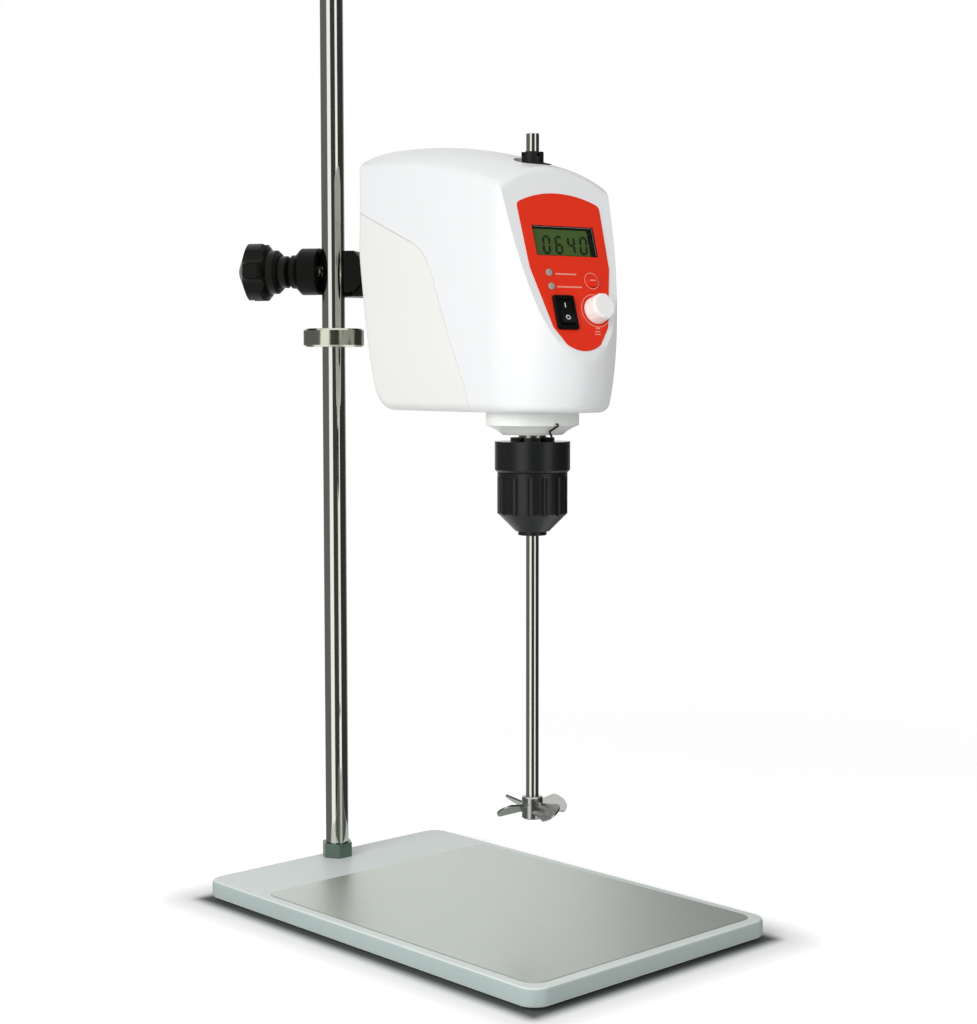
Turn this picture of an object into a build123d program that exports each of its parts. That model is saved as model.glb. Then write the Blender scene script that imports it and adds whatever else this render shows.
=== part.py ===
from build123d import *
import os
from math import atan2, cos, degrees, hypot, radians, sin, sqrt, tan

# Laboratory overhead stirrer on a plate stand, in millimetres, +Z up, standing on Z = 0
# The plate lies square to X and Y, the control panel looks towards -Y, and the rod stands at the rear

# Stand plate
plate_width = 206.0
plate_length = 316.0
plate_thickness = 11.0
plate_corner_radius = 12.0
plate_edge_round = 2.0
foot_gap = 2.5
foot_diameter = 24.0
foot_recess = 1.5
foot_inset = 24.0
foot_screw_diameter = 5.0
foot_screw_length = 9.0
inlay_thickness = 1.0
inlay_recess = 0.8
inlay_margin = 7.5
inlay_rear_margin = 58.0
inlay_corner_radius = 9.0

# Rod, its lock nut and its stop ring
rod_diameter = 16.0
rod_length = 776.0
rod_chamfer = 1.0
rod_inset = 12.0
stud_diameter = 12.0
nut_across_flats = 19.0
nut_height = 10.0
ring_diameter = 42.0
ring_height = 12.5
ring_chamfer = 1.2
ring_drop = 45.6
ring_screw_diameter = 6.0
ring_screw_length = 11.0

# Clearances
running_fit = 0.05
face_gap = 0.1
body_gap = 0.3

# Head set-up on the rod
arm_height = 422.0
head_swing = 10.0
rod_offset = 30.0
flange_to_rod = 45.8
arm_diameter = 16.0
arm_tail = 72.0

# Boss head clamp
jaw_turn = 45.0
jaw_height = 28.0
jaw_wall = 2.7
jaw_corner_round = 6.0
hook_chamfer = 5.0
jaw_front = 2.0
jaw_back = 17.0
jaw_hook = 20.0
slot_room = 9.3
boss_diameter = 32.0
boss_end = 24.7
boss_chamfer = 3.2
neck_diameter = 23.0
neck_end = 30.6
neck_chamfer = 2.0
clamp_screw_diameter = 8.0
knob_gap = 0.6
knob_step_diameter = 22.0
knob_step_length = 6.2
knob_hub_diameter = 30.0
knob_hub_length = 9.0
knob_star_diameter = 40.6
knob_star_thickness = 12.5
knob_cone = 7.8
knob_tip_diameter = 9.0
knob_edge = 2.2
screw_grip = 14.0
knob_lobes = 6
knob_scallop_radius = 8.0
knob_scallop_depth = 3.4

# Housing
housing_width = 83.0
housing_base = -94.0
wall = 2.8
nose_centre = -16.0
base_half_width = 38.5
base_nose_centre = -12.5
knee_height = -52.0
straight_height = -20.0
crown_radius = 77.0
ridge_front_y = -21.5
ridge_front_z = 51.5
ridge_rear_y = 147.0
ridge_rear_z = 78.0
ridge_sagitta = 6.2
rear_face = 148.0
rear_base = 126.0
rear_lean_height = 8.0
rear_base_round = 20.0
rear_lean_round = 60.0
housing_edge_round = 6.5
pad_diameter = 38.0
pad_height = 1.2
pillar_diameter = 9.0
pillar_x = 26.0
pillar_top = 10.0
pillar_low = -40.0
seam_gap = 0.35
seam_rear_height = 38.0
seam_bend_y = 58.0
seam_bend_z = 6.0
seam_low_y = 13.0
seam_low_z = -80.0
seam_foot_y = 10.0
seam_round = 46.0

# Control panel, on a facet that leans back from the upright
panel_lean = 18.0
panel_y = -26.8
panel_z = 29.4
panel_half_width = 29.8
panel_crown = 7.0
panel_mid_half_width = 28.6
panel_mid_drop = 40.0
panel_low_half_width = 19.6
panel_low_drop = 77.0
panel_heel_half_width = 12.0
panel_heel_drop = 87.5
panel_drop = 91.5
panel_corner_round = 4.0
panel_thickness = 0.8
panel_recess = 0.5
window_half_width = 22.0
window_top = -13.9
window_bottom = -32.5
lens_thickness = 1.2
display_depth = 6.0
window_ledge = 1.5
led_u = -15.75
led_v = -43.2
led_pitch = 8.6
led_diameter = 4.5
key_u = 14.0
key_v = -47.8
key_diameter = 8.0
key_stroke = 0.8
key_proud = 1.3
key_flange = 10.4
switch_u = -9.55
switch_v = -68.0
switch_width = 15.0
switch_height = 21.2
switch_body_width = 12.8
switch_body_height = 19.0
switch_depth = 18.0
switch_bezel = 1.6
rocker_width = 9.6
rocker_height = 15.4
rocker_angle = 6.0
rocker_rise = 2.4
rocker_crest = 3.4
rocker_well = 6.0
rocker_pin_diameter = 2.4
rocker_pin_depth = 1.0
dial_u = 12.8
dial_v = -66.5
dial_diameter = 16.5
dial_height = 9.5
dial_flutes = 10
dial_flute_radius = 1.6
dial_taper = 3.0
dial_edge = 1.5
pot_diameter = 17.0
pot_depth = 8.0
pot_shaft_diameter = 6.0
pot_bush_diameter = 9.0

# Nose cone, spindle and drive
cone_diameter = 57.0
cone_band = 8.0
cone_tip_diameter = 37.0
cone_height = 13.8
cone_waist_diameter = 45.0
cone_waist = -104.8
wire_diameter = 1.3
wire_bend = 0.7
hook_bends = ((-1.9, -28.6, 7.0), (-1.9, -31.0, 6.2), (-4.4, -24.6, 2.4), (-0.6, -21.6, -1.0))
spindle_diameter = 17.0
spindle_bore = 10.3
spindle_neck_diameter = 13.5
spindle_neck_start = 27.0
spindle_top = 56.0
cap_top = 62.9
cap_notch = 3.0
seal_diameter = 22.7
seal_bore = 14.6
seal_base = 52.5
seal_thickness = 3.0
bearing_outer = 35.0
bearing_width = 10.0
chassis_wall = 3.0
chassis_half_width = 33.0
chassis_base = -91.0
chassis_rear = 98.0
frame_top = -56.0
back_wall_y = 112.0
back_wall_thickness = 6.0
back_wall_top = 20.0
arm_socket_diameter = 30.0
arm_socket_end = 138.0
tower_diameter = 42.0
tower_bore = 30.0
upper_bearing_base = 14.0
lower_bearing_base = -90.0
pulley_diameter = 56.0
pulley_width = 12.0
pulley_base = -78.0
motor_pulley_diameter = 18.0
motor_y = 78.0
motor_diameter = 62.0
motor_height = 82.0
motor_cap_thickness = 4.0
rotor_base = -45.0
rotor_diameter = 40.0
rotor_length = 56.0
rotor_shaft_diameter = 8.0
belt_thickness = 2.2
belt_width = 9.0
groove_width = 9.6
board_y = 31.0
board_thickness = 1.6
board_width = 58.0
board_height = 84.0
gland_height = -56.0
gland_bore = 7.2
gland_diameter = 17.0
gland_length = 12.0
gland_thread_diameter = 12.0
gland_nut_diameter = 18.0
gland_nut_thickness = 4.0
gland_taper = 6.0
flange_diameter = 34.0
flange_thickness = 5.0
screw_diameter = 4.0
cover_screw_head = 7.0
cover_screw_sink = 1.4

# Chuck, jaws, stirring shaft and propeller
chuck_gap = 1.8
chuck_length = 57.3
sleeve_diameter = 46.2
sleeve_length = 20.9
collar_diameter = 27.5
collar_bore = 21.0
collar_teeth = 6
collar_tooth_height = 2.3
collar_slot_width = 4.8
collar_turn = 25.8
washer_thickness = 0.8
washer_margin = 0.7
sleeve_chamfer = 1.3
grip_diameter = 43.0
grip_straight = 24.9
grip_nose_diameter = 20.8
grip_gap = 0.4
grip_flutes = 14
grip_flute_radius = 3.6
grip_flute_depth = 0.9
nose_ring_length = 2.5
nose_ring_diameter = 17.6
core_diameter = 32.0
spindle_seat = 19.4
jaw_slant = 14.0
jaw_pin_diameter = 5.0
jaw_pin_length = 22.0
jaw_pin_radius = 5.2
jaw_reach = 1.0
jaw_travel = 3.6
jaw_fit = 0.1
jaw_phase = 20.0
chuck_bore_gap = 1.15
core_straight = 39.3
grip_rim = 2.5
shaft_diameter = 8.0
shaft_length = 420.0
shaft_top_above_arm = 74.3
hub_diameter = 13.0
hub_height = 14.0
propeller_diameter = 50.0
blade_count = 4
blade_width = 15.0
blade_root = 9.0
hub_chamfer = 0.8
hub_screw_diameter = 4.0
blade_thickness = 1.2
blade_pitch = 35.0

# Places worked out from the sizes above
plate_top = foot_gap + plate_thickness
rod_base = plate_top + nut_height + face_gap
swing = radians(head_swing)
rod_radius = rod_diameter / 2
arm_radius = arm_diameter / 2
tail_reach = arm_tail * cos(swing) - rod_offset * sin(swing) + arm_radius * sin(swing)
plate_y = -(tail_reach - rod_inset) / 2
rod_y = plate_y + plate_length / 2 - rod_inset
rod_axis = Axis((0, rod_y, 0), (0, 0, 1))
rod_place = Location((0, rod_y, arm_height), (0, 0, -head_swing))
ring_level = arm_height - ring_drop
rod_jaw = Plane(rod_place * Location((0, 0, 0), (0, 0, -jaw_turn)))
arm_jaw = Plane(rod_place * Plane(origin=(rod_offset, 0, 0), x_dir=(-1, 0, 0), z_dir=(0, -1, 0)).location)
knob_start = neck_end + knob_gap
scallop_reach = knob_star_diameter / 2 + knob_scallop_radius - knob_scallop_depth
pad_end = rear_face + pad_height
head_reach = pad_end + flange_thickness + flange_to_rod
head = rod_place * Location((rod_offset, -head_reach, 0))
head_side = Plane(head * Plane.YZ.location)
head_front = Plane(head * Plane.XZ.location)
rearwards = Axis(head.position, head_side.x_dir)
spindle_axis = Axis(head.position, (0, 0, 1))
half_width = housing_width / 2
head_room = ridge_rear_z + 4 * wall
ridge_chord = hypot(ridge_rear_y - ridge_front_y, ridge_rear_z - ridge_front_z)
ridge_radius = ridge_chord**2 / (8 * ridge_sagitta) + ridge_sagitta / 2
ridge_slope = atan2(ridge_rear_z - ridge_front_z, ridge_rear_y - ridge_front_y)
ridge_y = (ridge_front_y + ridge_rear_y) / 2 + (ridge_radius - ridge_sagitta) * sin(ridge_slope)
ridge_depth = (ridge_front_z + ridge_rear_z) / 2 - (ridge_radius - ridge_sagitta) * cos(ridge_slope)
crown_sweep = 2 * degrees(atan2(ridge_y + housing_width, housing_base - ridge_depth))
crown_normal = (0, -cos(radians(crown_sweep)), -sin(radians(crown_sweep)))
crown_start = Plane(origin=(0, ridge_y, ridge_depth), x_dir=(1, 0, 0), z_dir=crown_normal)
crown_plane = Plane(head * crown_start.location)
crown_axis = Axis(crown_plane.origin, -crown_plane.x_dir)
panel_normal = (0, -cos(radians(panel_lean)), sin(radians(panel_lean)))
panel_tilt = Plane(origin=(0, panel_y, panel_z), x_dir=(1, 0, 0), z_dir=panel_normal)
panel = Plane(head * panel_tilt.location)
panel_face = panel_thickness - panel_recess
rear_slope = atan2(rear_face - rear_base, rear_lean_height - housing_base)
gland_y = rear_base + (gland_height - housing_base) * tan(rear_slope)
gland_normal = (0, cos(rear_slope), -sin(rear_slope))
gland_tilt = Plane(origin=(0, gland_y, gland_height), x_dir=(1, 0, 0), z_dir=gland_normal)
gland_seat = Plane(head * gland_tilt.location)
cone_tip = housing_base - cone_height
chuck_top = cone_tip - chuck_gap
chuck_rim = chuck_top - collar_tooth_height
sleeve_end = chuck_top - sleeve_length
grip_top = sleeve_end - grip_gap
chuck_nose = chuck_top - chuck_length
nose_end = chuck_nose - nose_ring_length
shaft_end = shaft_top_above_arm - shaft_length
washer_base = chuck_rim - washer_thickness
core_shoulder = washer_base - core_straight
grip_shoulder = grip_top - grip_straight
spindle_end = chuck_top - spindle_seat + face_gap
belt_base = pulley_base + (pulley_width - belt_width) / 2
hub_middle = head * Location((0, 0, shaft_end + hub_height / 2), (0, 0, 45))
hub_side = Plane(hub_middle.position, z_dir=Plane(hub_middle).x_dir)
rocker_spot = panel.location * Location((switch_u, switch_v, panel_face - rocker_pin_depth))
rocker_side = Plane(rocker_spot * Plane.YZ.location)
rocker_tilted = Plane(rocker_spot * Location((0, 0, 0), (-rocker_angle, 0, 0)) * Plane.YZ.location)
hook_points = [(head * Pos(x, y, cone_tip + z)).position for x, y, z in hook_bends]
pulley_groove = pulley_diameter / 2 - belt_thickness / 2
motor_groove = motor_pulley_diameter / 2 - belt_thickness / 2
window_height = window_top - window_bottom
window_v = (window_top + window_bottom) / 2

os.makedirs("parts", exist_ok=True)


def level(height):
    """Horizontal plane of the head, at a height above the arm's axis."""
    return Plane(head * Location((0, 0, height)))


def motor_level(height):
    """Horizontal plane on the motor's axis, at a height above the arm's axis."""
    return Plane(head * Location((0, motor_y, height)))


def rearward(rear, height=0):
    """Upright plane that faces the rear of the head, behind the spindle."""
    return Plane(head * Plane(origin=(0, rear, height), x_dir=(-1, 0, 0), z_dir=(0, 1, 0)).location)


# Base plate with a sheet recess on top, foot recesses below and the hole for the rod's stud
with BuildPart() as base_plate:
    with BuildSketch(Plane((0, plate_y, foot_gap))):
        RectangleRounded(plate_width, plate_length, plate_corner_radius)
    extrude(amount=plate_thickness)
    fillet(base_plate.faces().sort_by(Axis.Z)[-1].edges(), plate_edge_round)
    chamfer(base_plate.faces().sort_by(Axis.Z)[0].edges(), plate_edge_round / 2)
    inlay_width = plate_width - 2 * inlay_margin
    inlay_length = plate_length - inlay_margin - inlay_rear_margin
    inlay_y = plate_y + (inlay_margin - inlay_rear_margin) / 2
    with BuildSketch(Plane((0, inlay_y, plate_top - inlay_recess))):
        RectangleRounded(
            inlay_width + 2 * face_gap, inlay_length + 2 * face_gap, inlay_corner_radius + face_gap
        )
    extrude(amount=plate_thickness, mode=Mode.SUBTRACT)
    with BuildSketch(Plane((0, plate_y, foot_gap))):
        with GridLocations(plate_width - 2 * foot_inset, plate_length - 2 * foot_inset, 2, 2):
            Circle(foot_diameter / 2 + face_gap)
    extrude(amount=foot_recess, mode=Mode.SUBTRACT)
    with BuildSketch(Plane((0, plate_y, foot_gap))):
        with GridLocations(plate_width - 2 * foot_inset, plate_length - 2 * foot_inset, 2, 2):
            Circle(foot_screw_diameter / 2)
    extrude(amount=foot_screw_length, mode=Mode.SUBTRACT)
    with BuildSketch(Plane((0, rod_y, 0))):
        Circle(stud_diameter / 2 + running_fit)
    extrude(amount=plate_top + face_gap, mode=Mode.SUBTRACT)
base_plate.part.label = "base_plate"
export_step(base_plate.part, "parts/base_plate.step")

# Brushed sheet that covers the plate in front of the rod
with BuildPart() as steel_inlay:
    with BuildSketch(Plane((0, inlay_y, plate_top - inlay_recess))):
        RectangleRounded(inlay_width, inlay_length, inlay_corner_radius)
    extrude(amount=inlay_thickness)
    chamfer(steel_inlay.faces().sort_by(Axis.Z)[-1].edges(), inlay_thickness / 5)
steel_inlay.part.label = "steel_inlay"
export_step(steel_inlay.part, "parts/steel_inlay.step")

# Four round feet, each with a hollow for the head of its screw
with BuildPart() as rubber_feet:
    with BuildSketch(Plane((0, plate_y, 0))):
        with GridLocations(plate_width - 2 * foot_inset, plate_length - 2 * foot_inset, 2, 2):
            Circle(foot_diameter / 2)
    extrude(amount=foot_gap + foot_recess)
    with BuildSketch(Plane((0, plate_y, 0))):
        with GridLocations(plate_width - 2 * foot_inset, plate_length - 2 * foot_inset, 2, 2):
            Circle(foot_screw_diameter)
    extrude(amount=foot_gap, mode=Mode.SUBTRACT)
    with BuildSketch(Plane((0, plate_y, 0))):
        with GridLocations(plate_width - 2 * foot_inset, plate_length - 2 * foot_inset, 2, 2):
            Circle(foot_screw_diameter / 2)
    extrude(amount=foot_gap + foot_recess, mode=Mode.SUBTRACT)
    chamfer(rubber_feet.faces().group_by(Axis.Z)[0].edges().group_by(SortBy.LENGTH)[-1], 0.6)
rubber_feet.part.label = "rubber_feet"
export_step(rubber_feet.part, "parts/rubber_feet.step")

# Pan head screws that hold the feet
with BuildPart() as foot_screws:
    with BuildSketch(Plane((0, plate_y, foot_gap))):
        with GridLocations(plate_width - 2 * foot_inset, plate_length - 2 * foot_inset, 2, 2):
            Circle(foot_screw_diameter * 0.9)
    extrude(amount=-foot_gap / 2)
    with BuildSketch(Plane((0, plate_y, foot_gap))):
        with GridLocations(plate_width - 2 * foot_inset, plate_length - 2 * foot_inset, 2, 2):
            Circle(foot_screw_diameter / 2 - running_fit)
    extrude(amount=foot_screw_length - face_gap)
foot_screws.part.label = "foot_screws"
export_step(foot_screws.part, "parts/foot_screws.step")

# Hexagon lock nut at the foot of the rod
with BuildPart() as rod_nut:
    with BuildSketch(Plane((0, rod_y, plate_top))):
        RegularPolygon(nut_across_flats / 2, 6, major_radius=False)
    extrude(amount=nut_height)
    with BuildSketch(Plane((0, rod_y, 0), z_dir=(0, -1, 0))):
        with BuildLine():
            Polyline(
                (nut_across_flats / 2, plate_top + nut_height + 1),
                (nut_across_flats / 2, plate_top + nut_height),
                (nut_across_flats / 2 + 3, plate_top + nut_height - 3 * tan(radians(30))),
                (nut_across_flats / 2 + 3, plate_top + nut_height + 1),
                close=True,
            )
        make_face()
    revolve(axis=rod_axis, mode=Mode.SUBTRACT)
    with BuildSketch(Plane((0, rod_y, plate_top))):
        Circle(stud_diameter / 2 + running_fit)
    extrude(amount=nut_height, mode=Mode.SUBTRACT)
rod_nut.part.label = "rod_nut"
export_step(rod_nut.part, "parts/rod_nut.step")

# Rod, with the stud that passes its nut and the plate
with BuildPart() as stand_rod:
    with BuildSketch(Plane((0, rod_y, foot_gap + rod_chamfer))):
        Circle(stud_diameter / 2)
    extrude(amount=rod_base - foot_gap - rod_chamfer)
    with BuildSketch(Plane((0, rod_y, rod_base))):
        Circle(rod_radius)
    extrude(amount=rod_length)
    chamfer(stand_rod.edges().sort_by(Axis.Z)[-1], rod_chamfer)
stand_rod.part.label = "stand_rod"
export_step(stand_rod.part, "parts/stand_rod.step")

# Stop ring under the clamp, with a tapped hole at its rear
ring_side = Plane(origin=(0, rod_y, ring_level), x_dir=(1, 0, 0), z_dir=(0, 1, 0))
with BuildPart() as stop_ring:
    with BuildSketch(Plane((0, rod_y, ring_level - ring_height / 2))):
        Circle(ring_diameter / 2)
        Circle(rod_radius + running_fit, mode=Mode.SUBTRACT)
    extrude(amount=ring_height)
    chamfer(stop_ring.edges().filter_by(GeomType.CIRCLE).group_by(SortBy.RADIUS)[-1], ring_chamfer)
    with BuildSketch(ring_side):
        Circle(ring_screw_diameter / 2)
    extrude(amount=ring_diameter, mode=Mode.SUBTRACT)
stop_ring.part.label = "stop_ring"
export_step(stop_ring.part, "parts/stop_ring.step")

# Socket set screw of the stop ring
with BuildPart() as stop_ring_screw:
    with BuildSketch(ring_side.offset(rod_radius + face_gap)):
        Circle(ring_screw_diameter / 2 - running_fit)
    extrude(amount=ring_screw_length)
    chamfer(stop_ring_screw.edges().sort_by(Axis.Y)[0], 0.5)
    with BuildSketch(ring_side.offset(rod_radius + face_gap + ring_screw_length)):
        RegularPolygon(ring_screw_diameter / 4, 6, major_radius=False)
    extrude(amount=-ring_screw_length / 3, mode=Mode.SUBTRACT)
stop_ring_screw.part.label = "stop_ring_screw"
export_step(stop_ring_screw.part, "parts/stop_ring_screw.step")


def screw_side(jaw):
    """Plane through a hook's bore axis that looks out along its clamping screw."""
    return Plane(jaw.origin, x_dir=jaw.z_dir, z_dir=-jaw.x_dir)


def jaw_form(jaw):
    """Solid hook of the boss head with the round boss and neck of its screw."""
    side = screw_side(jaw)
    inwards = Axis(jaw.origin, jaw.x_dir)
    with BuildPart() as form:
        with BuildSketch(jaw.offset(-jaw_height / 2)):
            with BuildLine():
                Polyline(
                    (-slot_room - jaw_wall, -jaw_front),
                    (jaw_hook, -jaw_front),
                    (jaw_hook, jaw_back),
                    (-slot_room - jaw_wall, jaw_back),
                    close=True,
                )
            make_face()
        extrude(amount=jaw_height)
        hook_end = form.faces().sort_by(inwards)[-1]
        chamfer(hook_end.edges().filter_by(Axis(jaw.origin, jaw.y_dir)), hook_chamfer)
        with BuildSketch(side.offset(slot_room)):
            Circle(boss_diameter / 2)
        extrude(amount=boss_end - slot_room)
        chamfer(form.edges().filter_by(GeomType.CIRCLE).group_by(inwards)[0], boss_chamfer)
        with BuildSketch(side.offset(boss_end)):
            Circle(neck_diameter / 2)
        extrude(amount=neck_end - boss_end)
        chamfer(form.edges().filter_by(GeomType.CIRCLE).group_by(inwards)[0], neck_chamfer)
    return form.part


def knob_form(jaw):
    """Star knob: step, hub and scalloped star with a conical front, bored for its screw."""
    side = screw_side(jaw)
    hub_start = knob_start + knob_step_length
    star_start = hub_start + knob_hub_length
    star_end = star_start + knob_star_thickness
    tip = star_end + knob_cone
    outwards = Axis(side.origin, side.z_dir)
    with BuildPart() as form:
        with BuildSketch(Plane(jaw.origin, x_dir=side.z_dir, z_dir=jaw.y_dir)):
            with BuildLine():
                Polyline(
                    (knob_start, 0),
                    (knob_start, knob_step_diameter / 2),
                    (hub_start, knob_step_diameter / 2),
                    (hub_start, knob_hub_diameter / 2 - knob_edge),
                    (hub_start + knob_edge, knob_hub_diameter / 2),
                    (star_start - knob_edge, knob_hub_diameter / 2),
                    (star_start, knob_star_diameter / 2 - knob_edge),
                    (star_start + knob_edge, knob_star_diameter / 2),
                    (star_end, knob_star_diameter / 2),
                    (tip, knob_tip_diameter / 2),
                    (tip, 0),
                    close=True,
                )
            make_face()
        revolve(axis=outwards)
        chamfer(form.edges().filter_by(GeomType.CIRCLE).group_by(outwards)[0], knob_edge / 2)
        with BuildSketch(side.offset(star_start - knob_edge)):
            with PolarLocations(scallop_reach, knob_lobes):
                Circle(knob_scallop_radius)
        extrude(amount=tip, mode=Mode.SUBTRACT)
        fillet(form.faces().sort_by(outwards)[-1].edges(), knob_edge)
        with BuildSketch(side.offset(knob_start)):
            Circle(clamp_screw_diameter / 2 + running_fit)
        extrude(amount=screw_grip, mode=Mode.SUBTRACT)
    return form.part


def screw_form(jaw, radius):
    """Clamping screw from the clamped rod's surface to its grip in the knob."""
    side = screw_side(jaw)
    with BuildPart() as form:
        with BuildSketch(side.offset(radius + face_gap)):
            Circle(clamp_screw_diameter / 2)
        extrude(amount=knob_start + screw_grip - radius - 2 * face_gap)
        chamfer(form.edges().filter_by(GeomType.CIRCLE), clamp_screw_diameter / 10)
    return form.part


# Boss head clamp: two open hooks at right angles, one round the rod and one under the arm
with BuildPart() as clamp_body:
    add(jaw_form(rod_jaw))
    add(jaw_form(arm_jaw))
    for jaw, radius in ((rod_jaw, rod_radius), (arm_jaw, arm_radius)):
        seat = radius + running_fit
        with BuildSketch(jaw.offset(-2 * jaw_height)) as slot:
            with BuildLine():
                Polyline(
                    (-slot_room, -3 * jaw_back),
                    (seat, -3 * jaw_back),
                    (seat, seat),
                    (-slot_room, seat),
                    close=True,
                )
            make_face()
            fillet(slot.vertices().sort_by_distance((seat, seat))[0], jaw_corner_round)
        extrude(amount=4 * jaw_height, mode=Mode.SUBTRACT)
        with BuildSketch(screw_side(jaw)):
            Circle(clamp_screw_diameter / 2 + running_fit)
        extrude(amount=neck_end, mode=Mode.SUBTRACT)
clamp_body.part.label = "clamp_body"
export_step(clamp_body.part, "parts/clamp_body.step")

# Star knob and screw that grip the rod
with BuildPart() as rod_star_knob:
    add(knob_form(rod_jaw))
rod_star_knob.part.label = "rod_star_knob"
export_step(rod_star_knob.part, "parts/rod_star_knob.step")

with BuildPart() as rod_clamp_screw:
    add(screw_form(rod_jaw, rod_radius))
rod_clamp_screw.part.label = "rod_clamp_screw"
export_step(rod_clamp_screw.part, "parts/rod_clamp_screw.step")

# Star knob and screw that grip the arm
with BuildPart() as arm_star_knob:
    add(knob_form(arm_jaw))
arm_star_knob.part.label = "arm_star_knob"
export_step(arm_star_knob.part, "parts/arm_star_knob.step")

with BuildPart() as arm_clamp_screw:
    add(screw_form(arm_jaw, arm_radius))
arm_clamp_screw.part.label = "arm_clamp_screw"
export_step(arm_clamp_screw.part, "parts/arm_clamp_screw.step")

# Arm from the head's socket to its tail behind the clamp
with BuildPart() as arm_rod:
    with BuildSketch(rearward(back_wall_y + back_wall_thickness)):
        Circle(arm_radius)
    extrude(amount=head_reach + arm_tail - back_wall_y - back_wall_thickness)
    chamfer(arm_rod.edges().filter_by(GeomType.CIRCLE), rod_chamfer)
arm_rod.part.label = "arm_rod"
export_step(arm_rod.part, "parts/arm_rod.step")

# Clamping flange of the arm, on the pad at the rear of the head
with BuildPart() as arm_flange:
    with BuildSketch(rearward(pad_end)):
        Circle(flange_diameter / 2)
        Circle(arm_radius + running_fit, mode=Mode.SUBTRACT)
    extrude(amount=flange_thickness)
    chamfer(arm_flange.faces().sort_by(rearwards)[-1].edges().sort_by(SortBy.RADIUS)[-1], 1)
arm_flange.part.label = "arm_flange"
export_step(arm_flange.part, "parts/arm_flange.step")


def plan(height, half, centre, inset):
    """Plan of the housing at one height: straight sides and a round nose."""
    side = half - inset
    with BuildSketch(level(height)) as outline:
        with BuildLine():
            ThreePointArc((-side, centre), (0, centre - side), (side, centre))
            Polyline((side, centre), (side, rear_face + wall), (-side, rear_face + wall), (-side, centre))
        make_face()
    return outline.sketch


def facet_y(height):
    """Depth of the panel facet at a height above the arm's axis."""
    return panel_y + (height - panel_z) * tan(radians(panel_lean))


def housing_form(inset):
    """Housing drawn in by an inset: plan, side profile and crowned top, with sharp edges."""
    shoulder = half_width + wall
    top_radius = ridge_radius - inset
    side_radius = top_radius - crown_radius + sqrt(crown_radius**2 - shoulder**2)
    with BuildPart() as form:
        loft(
            sections=[
                plan(housing_base + inset, base_half_width, base_nose_centre, inset),
                plan(knee_height, half_width, nose_centre, inset),
                plan(straight_height, half_width, nose_centre, inset),
                plan(head_room, half_width, nose_centre, inset),
            ]
        )
        with BuildSketch(head_side.offset(-shoulder)) as profile:
            with BuildLine():
                Polyline(
                    (facet_y(head_room), head_room),
                    (facet_y(housing_base), housing_base),
                    (rear_base, housing_base),
                    (rear_face, rear_lean_height),
                    (rear_face, head_room),
                    close=True,
                )
            make_face()
            fillet(profile.vertices().sort_by_distance((rear_base, housing_base))[0], rear_base_round)
            fillet(profile.vertices().sort_by_distance((rear_face, rear_lean_height))[0], rear_lean_round)
            if inset:
                offset(amount=-inset, kind=Kind.INTERSECTION)
        extrude(amount=2 * shoulder, mode=Mode.INTERSECT)
        with BuildSketch(crown_plane):
            with BuildLine():
                ThreePointArc((-shoulder, side_radius), (0, top_radius), (shoulder, side_radius))
                Polyline(
                    (shoulder, side_radius),
                    (shoulder, ridge_radius / 2),
                    (-shoulder, ridge_radius / 2),
                    (-shoulder, side_radius),
                )
            make_face()
        revolve(axis=crown_axis, revolution_arc=2 * crown_sweep, mode=Mode.INTERSECT)
    return form.part


# Side view of everything ahead of the seam that runs round the housing's flanks
with BuildSketch(head_side.offset(-half_width - wall)) as seam_front:
    with BuildLine():
        seam = FilletPolyline(
            (rear_face + wall, seam_rear_height),
            (seam_bend_y, seam_bend_z),
            (seam_low_y, seam_low_z),
            (seam_foot_y, housing_base - wall),
            radius=seam_round,
        )
        Polyline(
            seam @ 1,
            (-rear_face, housing_base - wall),
            (-rear_face, head_room),
            (rear_face + wall, head_room),
            seam @ 0,
        )
    make_face()
seam_room = offset(seam_front.sketch, amount=seam_gap)

# Outline of the control panel on its facet
with BuildSketch(panel) as panel_outline:
    with BuildLine():
        ThreePointArc((-panel_half_width, 0), (0, panel_crown), (panel_half_width, 0))
        Polyline(
            (panel_half_width, 0),
            (panel_mid_half_width, -panel_mid_drop),
            (panel_low_half_width, -panel_low_drop),
            (panel_heel_half_width, -panel_heel_drop),
        )
        ThreePointArc(
            (panel_heel_half_width, -panel_heel_drop),
            (0, -panel_drop),
            (-panel_heel_half_width, -panel_heel_drop),
        )
        Polyline(
            (-panel_heel_half_width, -panel_heel_drop),
            (-panel_low_half_width, -panel_low_drop),
            (-panel_mid_half_width, -panel_mid_drop),
            (-panel_half_width, 0),
        )
    make_face()
    fillet(panel_outline.vertices(), panel_corner_round)
panel_room = offset(panel_outline.sketch, amount=face_gap)

# Holes that the panel and the wall behind it share
with BuildSketch(panel) as panel_holes:
    with Locations((led_u, led_v), (led_u, led_v - led_pitch)):
        Circle(led_diameter / 2 + face_gap)
    with Locations((key_u, key_v)):
        Circle(key_diameter / 2 + body_gap)
    with Locations((switch_u, switch_v)):
        Rectangle(switch_body_width + 2 * face_gap, switch_body_height + 2 * face_gap)
    with Locations((dial_u, dial_v)):
        Circle(pot_bush_diameter / 2 + face_gap)

# Places of the four long screws of the rear cover
screw_spots = [(side * pillar_x, height) for side in (-1, 1) for height in (pillar_top, pillar_low)]


def screw_seat(height):
    """Depth of a cover screw's seat, sunk a little into the sloped or upright rear face."""
    return rear_face + min(height - rear_lean_height, 0) * tan(rear_slope) - cover_screw_sink


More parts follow.
